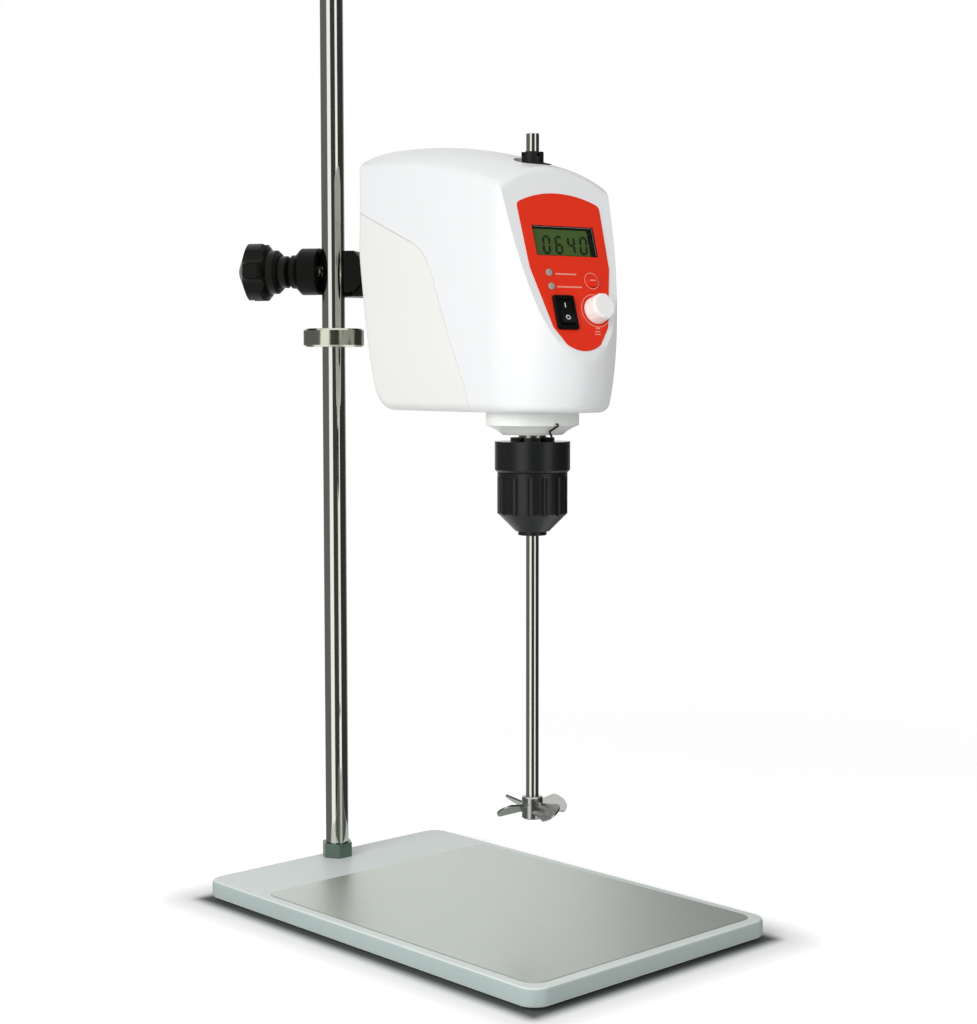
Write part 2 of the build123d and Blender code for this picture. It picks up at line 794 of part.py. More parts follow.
# Hollow of the housing, less the seal's boss and the screw pillars
with BuildPart() as cavity:
    add(housing_form(wall))
    with BuildSketch(level(seal_base - wall)):
        Circle(seal_diameter / 2 + wall)
    extrude(amount=head_room, mode=Mode.SUBTRACT)
    with BuildSketch(rearward(back_wall_y + back_wall_thickness + face_gap)):
        with Locations(screw_spots):
            Circle(pillar_diameter / 2)
    extrude(amount=rear_face, mode=Mode.SUBTRACT)

# Whole housing wall, bored for the seal and rounded outside, before it is parted along the seam
with BuildPart() as housing_wall:
    add(housing_form(0))
    with BuildSketch(level(seal_base)):
        Circle(seal_diameter / 2 + face_gap)
    extrude(amount=head_room, mode=Mode.SUBTRACT)
    with BuildSketch(level(seal_base - 2 * wall)):
        Circle(seal_bore / 2)
    extrude(amount=head_room, mode=Mode.SUBTRACT)
    crown_edges = housing_wall.faces().sort_by(Axis.Z)[-1].outer_wire().edges()
    base_edges = housing_wall.faces().sort_by(Axis.Z)[0].edges().sort_by(rearwards)[:-1]
    flat_faces = housing_wall.faces().filter_by(GeomType.PLANE)
    facet_edges = flat_faces.sort_by(Axis(panel.origin, panel.z_dir))[-1].edges().sort_by(Axis.Z)[1:-1]
    fillet(crown_edges + base_edges + facet_edges, housing_edge_round)
    add(cavity.part, mode=Mode.SUBTRACT)

# Front shell: top, nose and front half of the flanks, with the panel's recess and openings
with BuildPart() as front_shell:
    add(housing_wall.part)
    extrude(seam_front.sketch, amount=housing_width + 2 * wall, mode=Mode.INTERSECT)
    extrude(panel_room, amount=-panel_recess, mode=Mode.SUBTRACT)
    extrude(panel_holes.sketch, amount=-2 * wall, mode=Mode.SUBTRACT)
    with BuildSketch(panel):
        with Locations((0, window_v)):
            Rectangle(2 * window_half_width - 2 * window_ledge, window_height - 2 * window_ledge)
    extrude(amount=-2 * wall, mode=Mode.SUBTRACT)
    with BuildSketch(panel):
        with Locations((0, window_v)):
            Rectangle(2 * window_half_width + 2 * face_gap, window_height + 2 * face_gap)
    extrude(amount=panel_face - lens_thickness - face_gap, mode=Mode.SUBTRACT)
    with BuildSketch(level(housing_base - wall)):
        Circle(cone_tip_diameter / 2)
    extrude(amount=3 * wall, mode=Mode.SUBTRACT)
front_shell.part.label = "front_shell"
export_step(front_shell.part, "parts/front_shell.step")

# Rear cover behind the seam, with the arm's pad, the screw pillars and the gland's hole
with BuildPart() as rear_cover:
    add(housing_wall.part)
    with BuildSketch(rearward(arm_socket_end + body_gap)):
        Circle(pad_diameter / 2)
    extrude(amount=pad_end - arm_socket_end - body_gap)
    extrude(seam_room, amount=housing_width + 2 * wall, mode=Mode.SUBTRACT)
    with BuildSketch(rearward(back_wall_y)):
        Circle(arm_radius + body_gap)
    extrude(amount=rear_face, mode=Mode.SUBTRACT)
    with BuildSketch(rearward(back_wall_y)):
        with Locations(screw_spots):
            Circle(screw_diameter / 2 + face_gap)
    extrude(amount=rear_face, mode=Mode.SUBTRACT)
    for side, height in screw_spots:
        with BuildSketch(rearward(screw_seat(height))):
            with Locations((side, height)):
                Circle(cover_screw_head / 2 + body_gap)
        extrude(amount=rear_face, mode=Mode.SUBTRACT)
    with BuildSketch(gland_seat):
        Circle(gland_thread_diameter / 2 + face_gap)
    extrude(amount=-3 * wall, mode=Mode.SUBTRACT)
    with BuildSketch(gland_seat):
        Circle(gland_diameter / 2 + 1)
    extrude(amount=wall, mode=Mode.SUBTRACT)
rear_cover.part.label = "rear_cover"
export_step(rear_cover.part, "parts/rear_cover.step")

# Printed overlay of the control panel, with its window and holes
with BuildPart() as panel_overlay:
    extrude(panel_outline.sketch, amount=panel_face)
    extrude(panel_outline.sketch, amount=-panel_recess)
    extrude(panel_holes.sketch, amount=2 * wall, both=True, mode=Mode.SUBTRACT)
    with BuildSketch(panel.offset(-wall)):
        with Locations((0, window_v)):
            Rectangle(2 * window_half_width + 2 * face_gap, window_height + 2 * face_gap)
    extrude(amount=2 * wall, mode=Mode.SUBTRACT)
panel_overlay.part.label = "panel_overlay"
export_step(panel_overlay.part, "parts/panel_overlay.step")

# Clear lens of the display, flush with the overlay
with BuildPart() as display_window:
    with BuildSketch(panel.offset(panel_face - lens_thickness)):
        with Locations((0, window_v)):
            Rectangle(2 * window_half_width, window_height)
    extrude(amount=lens_thickness)
display_window.part.label = "display_window"
export_step(display_window.part, "parts/display_window.step")

# Display module behind the wall, raised into the window's opening
with BuildPart() as display_module:
    with BuildSketch(panel.offset(-wall - face_gap - display_depth)):
        with Locations((0, window_v)):
            Rectangle(2 * window_half_width + 2 * wall, window_height + 2 * wall)
    extrude(amount=display_depth)
    with BuildSketch(panel.offset(-wall - 2 * face_gap)):
        with Locations((0, window_v)):
            Rectangle(2 * window_half_width - 2 * wall, window_height - 2 * wall)
    extrude(amount=wall - lens_thickness + panel_face)
display_module.part.label = "display_module"
export_step(display_module.part, "parts/display_module.step")

# Two round indicator lamps
with BuildPart() as leds:
    with BuildSketch(panel.offset(-2 * wall)):
        with Locations((led_u, led_v), (led_u, led_v - led_pitch)):
            Circle(led_diameter / 2)
    extrude(amount=2 * wall + panel_face + led_diameter / 6)
    fillet(leds.faces().group_by(Axis(panel.origin, panel.z_dir))[-1].edges(), led_diameter / 5)
leds.part.label = "leds"
export_step(leds.part, "parts/leds.step")

# Round push key with a flange behind the wall
with BuildPart() as key_button:
    with BuildSketch(panel.offset(-wall - key_stroke - wall / 2)):
        with Locations((key_u, key_v)):
            Circle(key_flange / 2)
    extrude(amount=wall / 2)
    with BuildSketch(panel.offset(-wall - key_stroke)):
        with Locations((key_u, key_v)):
            Circle(key_diameter / 2)
    extrude(amount=wall + key_stroke + panel_face + key_proud)
    fillet(key_button.faces().sort_by(Axis(panel.origin, panel.z_dir))[-1].edges(), key_proud / 3)
key_button.part.label = "key_button"
export_step(key_button.part, "parts/key_button.step")

# Rocker switch housing: bezel, body and the well that holds the rocker on its pin
with BuildPart() as switch_body:
    with BuildSketch(panel.offset(panel_face)):
        with Locations((switch_u, switch_v)):
            RectangleRounded(switch_width, switch_height, switch_bezel)
    extrude(amount=switch_bezel)
    chamfer(switch_body.faces().sort_by(Axis(panel.origin, panel.z_dir))[-1].edges(), switch_bezel / 3)
    with BuildSketch(panel.offset(panel_face)):
        with Locations((switch_u, switch_v)):
            Rectangle(switch_body_width, switch_body_height)
    extrude(amount=-switch_depth)
    with BuildSketch(panel.offset(panel_face + switch_bezel)):
        with Locations((switch_u, switch_v)):
            Rectangle(rocker_width + 2 * body_gap, rocker_height + 2 * body_gap)
    extrude(amount=-switch_depth / 2, mode=Mode.SUBTRACT)
    with BuildSketch(rocker_side.offset(-switch_body_width / 2)):
        Circle(rocker_pin_diameter / 2)
    extrude(amount=switch_body_width)
switch_body.part.label = "switch_body"
export_step(switch_body.part, "parts/switch_body.step")

# Rocker, tilted on its pin with its upper end pressed in
with BuildPart() as rocker:
    with BuildSketch(rocker_tilted.offset(-rocker_width / 2)):
        with BuildLine():
            Polyline(
                (-rocker_height / 2, -rocker_well / 2),
                (-rocker_height / 2, rocker_crest),
                (0, rocker_crest - rocker_rise / 2),
                (rocker_height / 2, rocker_crest),
                (rocker_height / 2, -rocker_well / 2),
                close=True,
            )
        make_face()
        Circle(rocker_height / 2, mode=Mode.INTERSECT)
        Circle(rocker_pin_diameter / 2 + running_fit, mode=Mode.SUBTRACT)
    extrude(amount=rocker_width)
rocker.part.label = "rocker"
export_step(rocker.part, "parts/rocker.step")

# Potentiometer of the speed knob behind the wall, with its threaded bush
with BuildPart() as speed_pot:
    with BuildSketch(panel.offset(-wall - face_gap)):
        with Locations((dial_u, dial_v)):
            Circle(pot_diameter / 2)
    extrude(amount=-pot_depth)
    with BuildSketch(panel.offset(-wall - 2 * face_gap)):
        with Locations((dial_u, dial_v)):
            Circle(pot_bush_diameter / 2)
    extrude(amount=wall + panel_face + face_gap)
    with BuildSketch(panel.offset(-wall - pot_depth / 2)):
        with Locations((dial_u, dial_v)):
            Circle(pot_shaft_diameter / 2 + running_fit)
    extrude(amount=2 * pot_depth, mode=Mode.SUBTRACT)
speed_pot.part.label = "speed_pot"
export_step(speed_pot.part, "parts/speed_pot.step")

# Flat-sided shaft of the potentiometer
with BuildPart() as pot_shaft:
    with BuildSketch(panel.offset(-wall - pot_depth / 2 + face_gap)):
        with Locations((dial_u, dial_v)):
            Circle(pot_shaft_diameter / 2)
    extrude(amount=wall + pot_depth / 2 + dial_height - wall)
    with BuildSketch(panel.offset(panel_face + body_gap)):
        with Locations((dial_u, dial_v + pot_shaft_diameter * 0.75)):
            Rectangle(pot_shaft_diameter, pot_shaft_diameter)
    extrude(amount=dial_height, mode=Mode.SUBTRACT)
pot_shaft.part.label = "pot_shaft"
export_step(pot_shaft.part, "parts/pot_shaft.step")

# Speed knob: tapered, fluted and domed, bored for the flat-sided shaft
with BuildPart() as speed_knob:
    with BuildSketch(panel.offset(panel_face + body_gap)):
        with Locations((dial_u, dial_v)):
            Circle(dial_diameter / 2)
    extrude(amount=dial_height, taper=dial_taper)
    with BuildSketch(panel.offset(panel_face + body_gap + dial_height / 4)):
        with Locations((dial_u, dial_v)):
            with PolarLocations(dial_diameter / 2 + dial_flute_radius * 0.7, dial_flutes):
                Circle(dial_flute_radius)
    extrude(amount=dial_height, mode=Mode.SUBTRACT)
    fillet(speed_knob.faces().sort_by(Axis(panel.origin, panel.z_dir))[-1].edges(), dial_edge)
    with BuildSketch(panel.offset(panel_face)):
        with Locations((dial_u, dial_v)):
            Circle(pot_shaft_diameter / 2 + running_fit)
        with Locations((dial_u, dial_v + pot_shaft_diameter * 0.75 + running_fit)):
            Rectangle(pot_shaft_diameter, pot_shaft_diameter, mode=Mode.SUBTRACT)
    extrude(amount=body_gap + dial_height - wall + face_gap, mode=Mode.SUBTRACT)
speed_knob.part.label = "speed_knob"
export_step(speed_knob.part, "parts/speed_knob.step")

# Nose cone under the housing, round the lower end of the spindle
with BuildPart() as nose_cone:
    with BuildSketch(head_front):
        with BuildLine():
            Polyline(
                (cone_tip_diameter / 2, cone_tip),
                (spindle_diameter / 2 + body_gap, cone_tip),
                (spindle_diameter / 2 + body_gap, housing_base),
                (cone_diameter / 2, housing_base),
                (cone_diameter / 2, housing_base - cone_band),
            )
            ThreePointArc(
                (cone_diameter / 2, housing_base - cone_band),
                (cone_waist_diameter / 2, cone_waist),
                (cone_tip_diameter / 2, cone_tip),
            )
        make_face()
    revolve(axis=spindle_axis)
    with BuildSketch(level(housing_base)):
        Circle(cone_tip_diameter / 2 + body_gap)
    extrude(amount=-cone_band / 2, mode=Mode.SUBTRACT)
nose_cone.part.label = "nose_cone"
export_step(nose_cone.part, "parts/nose_cone.step")

# Short bent wire that hangs from the nose cone's band
with BuildPart() as wire_hook:
    with BuildLine():
        hook_path = FilletPolyline(*hook_points, radius=wire_bend)
    with BuildSketch(Plane(hook_path @ 0, z_dir=hook_path % 0)):
        Circle(wire_diameter / 2)
    sweep()
wire_hook.part.label = "wire_hook"
export_step(wire_hook.part, "parts/wire_hook.step")

# Drive frame: belt box, bearing tower, back wall and the socket of the arm
with BuildPart() as chassis:
    with BuildSketch(level(chassis_base)):
        Circle(chassis_half_width)
        with Locations((0, chassis_rear / 2)):
            Rectangle(2 * chassis_half_width, chassis_rear)
    extrude(amount=frame_top - chassis_base)
    with BuildSketch(level(chassis_base + chassis_wall)):
        Circle(chassis_half_width - chassis_wall)
        with Locations((0, chassis_rear / 2 - chassis_wall / 2)):
            Rectangle(2 * chassis_half_width - 2 * chassis_wall, chassis_rear - chassis_wall)
    extrude(amount=frame_top - chassis_base - 2 * chassis_wall, mode=Mode.SUBTRACT)
    with BuildSketch(level(frame_top - chassis_wall)):
        with Locations((0, (chassis_rear + back_wall_y) / 2)):
            Rectangle(2 * chassis_half_width, back_wall_y - chassis_rear)
    extrude(amount=chassis_wall)
    with BuildSketch(rearward(back_wall_y)):
        with Locations((0, (frame_top - chassis_wall + back_wall_top) / 2)):
            Rectangle(2 * chassis_half_width, back_wall_top - frame_top + chassis_wall)
    extrude(amount=back_wall_thickness)
    with BuildSketch(level(frame_top)):
        Circle(tower_diameter / 2)
    extrude(amount=upper_bearing_base + bearing_width - frame_top)
    with BuildSketch(level(chassis_base)):
        Circle(tower_diameter / 2)
    extrude(amount=lower_bearing_base + bearing_width - chassis_base)
    with BuildSketch(rearward(back_wall_y)):
        Circle(arm_socket_diameter / 2)
    extrude(amount=arm_socket_end - back_wall_y)
    with BuildSketch(rearward(back_wall_y + back_wall_thickness - face_gap)):
        Circle(arm_radius + running_fit)
    extrude(amount=arm_socket_end, mode=Mode.SUBTRACT)
    with BuildSketch(rearward(back_wall_y)):
        with Locations(screw_spots):
            Circle(screw_diameter / 2 + running_fit)
    extrude(amount=arm_socket_end, mode=Mode.SUBTRACT)
    with BuildSketch(level(chassis_base)):
        Circle(spindle_diameter / 2 + body_gap)
    extrude(amount=head_room - chassis_base, mode=Mode.SUBTRACT)
    with BuildSketch(level(frame_top - chassis_wall)):
        Circle(tower_bore / 2)
    extrude(amount=upper_bearing_base - frame_top, mode=Mode.SUBTRACT)
    with BuildSketch(level(upper_bearing_base)):
        Circle(bearing_outer / 2 + running_fit)
    extrude(amount=bearing_width, mode=Mode.SUBTRACT)
    with BuildSketch(level(lower_bearing_base)):
        Circle(bearing_outer / 2 + running_fit)
    extrude(amount=bearing_width, mode=Mode.SUBTRACT)
    with BuildSketch(level(frame_top - 2 * chassis_wall)):
        with Locations((0, motor_y)):
            Circle(motor_pulley_diameter / 2 + wall)
    extrude(amount=2 * chassis_wall, mode=Mode.SUBTRACT)
chassis.part.label = "chassis"
export_step(chassis.part, "parts/chassis.step")

# Ball bearings of the spindle
with BuildPart() as upper_bearing:
    with BuildSketch(level(upper_bearing_base)):
        Circle(bearing_outer / 2)
        Circle(spindle_diameter / 2 + running_fit, mode=Mode.SUBTRACT)
    extrude(amount=bearing_width)
    with BuildSketch(level(upper_bearing_base + bearing_width)):
        Circle(bearing_outer / 2 - wall)
        Circle(spindle_diameter / 2 + wall, mode=Mode.SUBTRACT)
    extrude(amount=-bearing_width / 8, mode=Mode.SUBTRACT)
upper_bearing.part.label = "upper_bearing"
export_step(upper_bearing.part, "parts/upper_bearing.step")

with BuildPart() as lower_bearing:
    with BuildSketch(level(lower_bearing_base)):
        Circle(bearing_outer / 2)
        Circle(spindle_diameter / 2 + running_fit, mode=Mode.SUBTRACT)
    extrude(amount=bearing_width)
    with BuildSketch(level(lower_bearing_base + bearing_width)):
        Circle(bearing_outer / 2 - wall)
        Circle(spindle_diameter / 2 + wall, mode=Mode.SUBTRACT)
    extrude(amount=-bearing_width / 8, mode=Mode.SUBTRACT)
lower_bearing.part.label = "lower_bearing"
export_step(lower_bearing.part, "parts/lower_bearing.step")

# Dust seal in the top of the housing
with BuildPart() as top_seal:
    with BuildSketch(level(seal_base)):
        Circle(seal_diameter / 2)
        Circle(seal_bore / 2, mode=Mode.SUBTRACT)
    extrude(amount=seal_thickness)
    chamfer(top_seal.faces().sort_by(Axis.Z)[-1].edges().sort_by(SortBy.RADIUS)[0], seal_thickness / 3)
top_seal.part.label = "top_seal"
export_step(top_seal.part, "parts/top_seal.step")

# Motor: case on the drive frame, stator and end cap
with BuildPart() as motor_case:
    with BuildSketch(motor_level(frame_top)):
        Circle(motor_diameter / 2)
    extrude(amount=motor_height - motor_cap_thickness)
    with BuildSketch(motor_level(frame_top + chassis_wall)):
        Circle(motor_diameter / 2 - chassis_wall)
    extrude(amount=motor_height, mode=Mode.SUBTRACT)
    with BuildSketch(motor_level(frame_top)):
        Circle(rotor_shaft_diameter / 2 + running_fit)
    extrude(amount=motor_height, mode=Mode.SUBTRACT)
motor_case.part.label = "motor_case"
export_step(motor_case.part, "parts/motor_case.step")

with BuildPart() as motor_stator:
    with BuildSketch(motor_level(rotor_base)):
        Circle(motor_diameter / 2 - chassis_wall - running_fit)
        Circle(rotor_diameter / 2 + body_gap, mode=Mode.SUBTRACT)
    extrude(amount=rotor_length)
motor_stator.part.label = "motor_stator"
export_step(motor_stator.part, "parts/motor_stator.step")

with BuildPart() as motor_cap:
    with BuildSketch(motor_level(frame_top + motor_height - motor_cap_thickness)):
        Circle(motor_diameter / 2)
        Circle(rotor_shaft_diameter / 2 + running_fit, mode=Mode.SUBTRACT)
    extrude(amount=motor_cap_thickness)
    chamfer(motor_cap.faces().sort_by(Axis.Z)[-1].edges().sort_by(SortBy.RADIUS)[-1], 1)
motor_cap.part.label = "motor_cap"
export_step(motor_cap.part, "parts/motor_cap.step")

# Rotor on its shaft, which carries the small belt pulley
with BuildPart() as motor_rotor:
    with BuildSketch(motor_level(pulley_base - face_gap)):
        Circle(rotor_shaft_diameter / 2)
    extrude(amount=frame_top + motor_height - pulley_base)
    with BuildSketch(motor_level(rotor_base)):
        Circle(rotor_diameter / 2)
    extrude(amount=rotor_length)
motor_rotor.part.label = "motor_rotor"
export_step(motor_rotor.part, "parts/motor_rotor.step")

with BuildPart() as motor_pulley:
    with BuildSketch(motor_level(pulley_base)):
        Circle(motor_pulley_diameter / 2)
        Circle(rotor_shaft_diameter / 2 + running_fit, mode=Mode.SUBTRACT)
    extrude(amount=pulley_width)
    with BuildSketch(motor_level(pulley_base + (pulley_width - groove_width) / 2)):
        Circle(motor_pulley_diameter)
        Circle(motor_groove, mode=Mode.SUBTRACT)
    extrude(amount=groove_width, mode=Mode.SUBTRACT)
motor_pulley.part.label = "motor_pulley"
export_step(motor_pulley.part, "parts/motor_pulley.step")

# Flat belt round both pulleys
with BuildPart() as belt:
    with BuildSketch(level(belt_base)):
        Circle(pulley_groove + body_gap + belt_thickness)
        with Locations((0, motor_y)):
            Circle(motor_groove + body_gap + belt_thickness)
        make_hull()
    extrude(amount=belt_width)
    with BuildSketch(level(belt_base)):
        Circle(pulley_groove + body_gap)
        with Locations((0, motor_y)):
            Circle(motor_groove + body_gap)
        make_hull()
    extrude(amount=belt_width, mode=Mode.SUBTRACT)
belt.part.label = "belt"
export_step(belt.part, "parts/belt.step")

# Circuit board between the tower and the motor, on the drive frame
with BuildPart() as main_board:
    with BuildSketch(rearward(board_y)):
        with Locations((0, frame_top + board_height / 2)):
            Rectangle(board_width, board_height)
    extrude(amount=board_thickness)
main_board.part.label = "main_board"
export_step(main_board.part, "parts/main_board.step")

# Cord gland in the rear cover: nut inside, threaded tube and tapered dome outside
with BuildPart() as cord_gland:
    with BuildSketch(gland_seat):
        Circle(gland_diameter / 2)
    extrude(amount=gland_length, taper=gland_taper)
    with BuildSketch(gland_seat):
        Circle(gland_thread_diameter / 2)
    extrude(amount=-wall - gland_nut_thickness)
    with BuildSketch(gland_seat.offset(-wall - face_gap)):
        RegularPolygon(gland_nut_diameter / 2, 6)
    extrude(amount=-gland_nut_thickness)
    fillet(cord_gland.faces().sort_by(Axis(gland_seat.origin, gland_seat.z_dir))[-1].edges(), 1)
    with BuildSketch(gland_seat.offset(gland_length)):
        Circle(gland_bore / 2)
    extrude(amount=-2 * gland_length, mode=Mode.SUBTRACT)
cord_gland.part.label = "cord_gland"
export_step(cord_gland.part, "parts/cord_gland.step")

# Four long screws through the rear cover into the drive frame
with BuildPart() as cover_screws:
    for side, height in screw_spots:
        with BuildSketch(rearward(back_wall_y + face_gap)):
            with Locations((side, height)):
                Circle(screw_diameter / 2)
        extrude(amount=screw_seat(height) - back_wall_y)
        with BuildSketch(rearward(screw_seat(height) + face_gap)):
            with Locations((side, height)):
                Circle(cover_screw_head / 2)
        extrude(amount=screw_diameter / 2)
cover_screws.part.label = "cover_screws"
export_step(cover_screws.part, "parts/cover_screws.step")

# Hollow spindle, stepped down above its upper bearing
with BuildPart() as spindle:
    with BuildSketch(level(spindle_end)):
        Circle(spindle_diameter / 2)
    extrude(amount=spindle_neck_start - spindle_end)
    with BuildSketch(level(spindle_neck_start)):
        Circle(spindle_neck_diameter / 2)
    extrude(amount=spindle_top - spindle_neck_start)
    chamfer(spindle.edges().filter_by(GeomType.CIRCLE).group_by(Axis.Z)[0], 0.8)
    with BuildSketch(level(spindle_end)):
        Circle(spindle_bore / 2)
    extrude(amount=spindle_top - spindle_end, mode=Mode.SUBTRACT)
spindle.part.label = "spindle"
export_step(spindle.part, "parts/spindle.step")

# Notched cap on top of the spindle, which guides the stirring shaft
with BuildPart() as spindle_cap:
    with BuildSketch(level(spindle_top)):
        Circle(spindle_neck_diameter / 2)
        Circle(shaft_diameter / 2 + body_gap, mode=Mode.SUBTRACT)
    extrude(amount=cap_top - spindle_top)
    with BuildSketch(level(cap_top)):
        Rectangle(spindle_neck_diameter, cap_notch)
        Rectangle(cap_notch, spindle_neck_diameter)
    extrude(amount=-cap_notch, mode=Mode.SUBTRACT)
spindle_cap.part.label = "spindle_cap"
export_step(spindle_cap.part, "parts/spindle_cap.step")

# Large belt pulley on the spindle
with BuildPart() as spindle_pulley:
    with BuildSketch(level(pulley_base)):
        Circle(pulley_diameter / 2)
        Circle(spindle_diameter / 2 + running_fit, mode=Mode.SUBTRACT)
    extrude(amount=pulley_width)
    with BuildSketch(level(pulley_base + (pulley_width - groove_width) / 2)):
        Circle(pulley_diameter)
        Circle(pulley_groove, mode=Mode.SUBTRACT)
    extrude(amount=groove_width, mode=Mode.SUBTRACT)
spindle_pulley.part.label = "spindle_pulley"
export_step(spindle_pulley.part, "parts/spindle_pulley.step")

# Slanted places of the three jaws, each with its axis rising outwards from the nose
jaw_places = []
for index in range(3):
    turn = Location((0, 0, 0), (0, 0, 120 * index + jaw_phase))
    lean = Location((jaw_pin_radius, 0, nose_end + jaw_reach), (0, jaw_slant, 0))
    jaw_places.append(Plane(head * turn * lean))

# Chuck core: notched collar, spindle seat, slanted jaw bores and steel nose
with BuildPart() as chuck_body:
    with BuildSketch(head_front):
        with BuildLine():
            Polyline(
                (shaft_diameter / 2 + chuck_bore_gap, chuck_top),
                (collar_diameter / 2, chuck_top),
                (collar_diameter / 2, washer_base),
                (core_diameter / 2, washer_base),
                (core_diameter / 2, core_shoulder),
                (nose_ring_diameter / 2, chuck_nose),
                (nose_ring_diameter / 2, nose_end),
                (shaft_diameter / 2 + chuck_bore_gap, nose_end),
                close=True,
            )
        make_face()
    revolve(axis=spindle_axis)
    with BuildSketch(level(chuck_top)):
        Circle(collar_bore / 2)
    extrude(amount=-collar_tooth_height, mode=Mode.SUBTRACT)
    with BuildSketch(level(chuck_top)):
        with PolarLocations(collar_diameter / 2, collar_teeth, start_angle=collar_turn):
            Rectangle(collar_diameter / 2, collar_slot_width)
    extrude(amount=-collar_tooth_height, mode=Mode.SUBTRACT)
    with BuildSketch(level(chuck_top)):
        Circle(spindle_diameter / 2)
    extrude(amount=-spindle_seat, mode=Mode.SUBTRACT)
    for place in jaw_places:
        with BuildSketch(place.offset(-jaw_pin_length)):
            Circle(jaw_pin_diameter / 2 + jaw_fit)
        extrude(amount=2 * jaw_pin_length + jaw_travel + face_gap, mode=Mode.SUBTRACT)
    chamfer(chuck_body.edges().group_by(Axis.Z)[0].filter_by(GeomType.CIRCLE), 0.4)
chuck_body.part.label = "chuck_body"
export_step(chuck_body.part, "parts/chuck_body.step")

# Bright washer round the chuck's collar
with BuildPart() as chuck_washer:
    with BuildSketch(level(washer_base)):
        Circle(sleeve_diameter / 2 - washer_margin)
        Circle(collar_diameter / 2 + running_fit, mode=Mode.SUBTRACT)
    extrude(amount=washer_thickness)
chuck_washer.part.label = "chuck_washer"
export_step(chuck_washer.part, "parts/chuck_washer.step")

# Rear sleeve of the chuck
with BuildPart() as chuck_rear_sleeve:
    with BuildSketch(level(sleeve_end)):
        Circle(sleeve_diameter / 2)
    extrude(amount=chuck_rim - sleeve_end)
    chamfer(chuck_rear_sleeve.edges().filter_by(GeomType.CIRCLE).group_by(Axis.Z)[0], sleeve_chamfer)
    with BuildSketch(level(sleeve_end)):
        Circle(core_diameter / 2 + running_fit)
    extrude(amount=chuck_rim - sleeve_end, mode=Mode.SUBTRACT)
    with BuildSketch(level(washer_base)):
        Circle(sleeve_diameter / 2 - washer_margin + running_fit)
    extrude(amount=washer_thickness + face_gap, mode=Mode.SUBTRACT)
chuck_rear_sleeve.part.label = "chuck_rear_sleeve"
export_step(chuck_rear_sleeve.part, "parts/chuck_rear_sleeve.step")

# Front sleeve that works the jaws: fluted grip and conical nose
with BuildPart() as chuck_front_sleeve:
    with BuildSketch(head_front):
        with BuildLine():
            Polyline(
                (core_diameter / 2 + running_fit, grip_top),
                (grip_diameter / 2, grip_top),
                (grip_diameter / 2, grip_shoulder),
                (grip_nose_diameter / 2, chuck_nose),
                (nose_ring_diameter / 2 + body_gap, chuck_nose),
                (core_diameter / 2 + running_fit, core_shoulder),
                close=True,
            )
        make_face()
    revolve(axis=spindle_axis)
    with BuildSketch(level(grip_top - grip_rim)):
        with PolarLocations(grip_diameter / 2 + grip_flute_radius - grip_flute_depth, grip_flutes):
            Circle(grip_flute_radius)
    extrude(amount=chuck_nose - grip_top + grip_rim, mode=Mode.SUBTRACT)
chuck_front_sleeve.part.label = "chuck_front_sleeve"
export_step(chuck_front_sleeve.part, "parts/chuck_front_sleeve.step")

# Three jaws: slanted pins, each with a flat that grips the shaft
jaws = []
for place in jaw_places:
    with BuildPart() as jaw_pin:
        with BuildSketch(place):
            Circle(jaw_pin_diameter / 2)
        extrude(amount=jaw_pin_length)
        with BuildSketch(level(nose_end - jaw_pin_length)):
            Circle(shaft_diameter / 2 + running_fit)
        extrude(amount=3 * jaw_pin_length, mode=Mode.SUBTRACT)
        with BuildSketch(level(nose_end)):
            Circle(core_diameter)
        extrude(amount=jaw_reach, mode=Mode.SUBTRACT)
    jaws.append(jaw_pin.part)
jaw_1, jaw_2, jaw_3 = jaws
jaw_1.label = "jaw_1"
export_step(jaw_1, "parts/jaw_1.step")
jaw_2.label = "jaw_2"
export_step(jaw_2, "parts/jaw_2.step")
jaw_3.label = "jaw_3"
export_step(jaw_3, "parts/jaw_3.step")

# Stirring shaft, from above the cap down to the propeller
with BuildPart() as stirring_shaft:
    with BuildSketch(level(shaft_end)):
        Circle(shaft_diameter / 2)
    extrude(amount=shaft_length)
    chamfer(stirring_shaft.edges().filter_by(GeomType.CIRCLE), shaft_diameter / 16)
stirring_shaft.part.label = "stirring_shaft"
export_step(stirring_shaft.part, "parts/stirring_shaft.step")

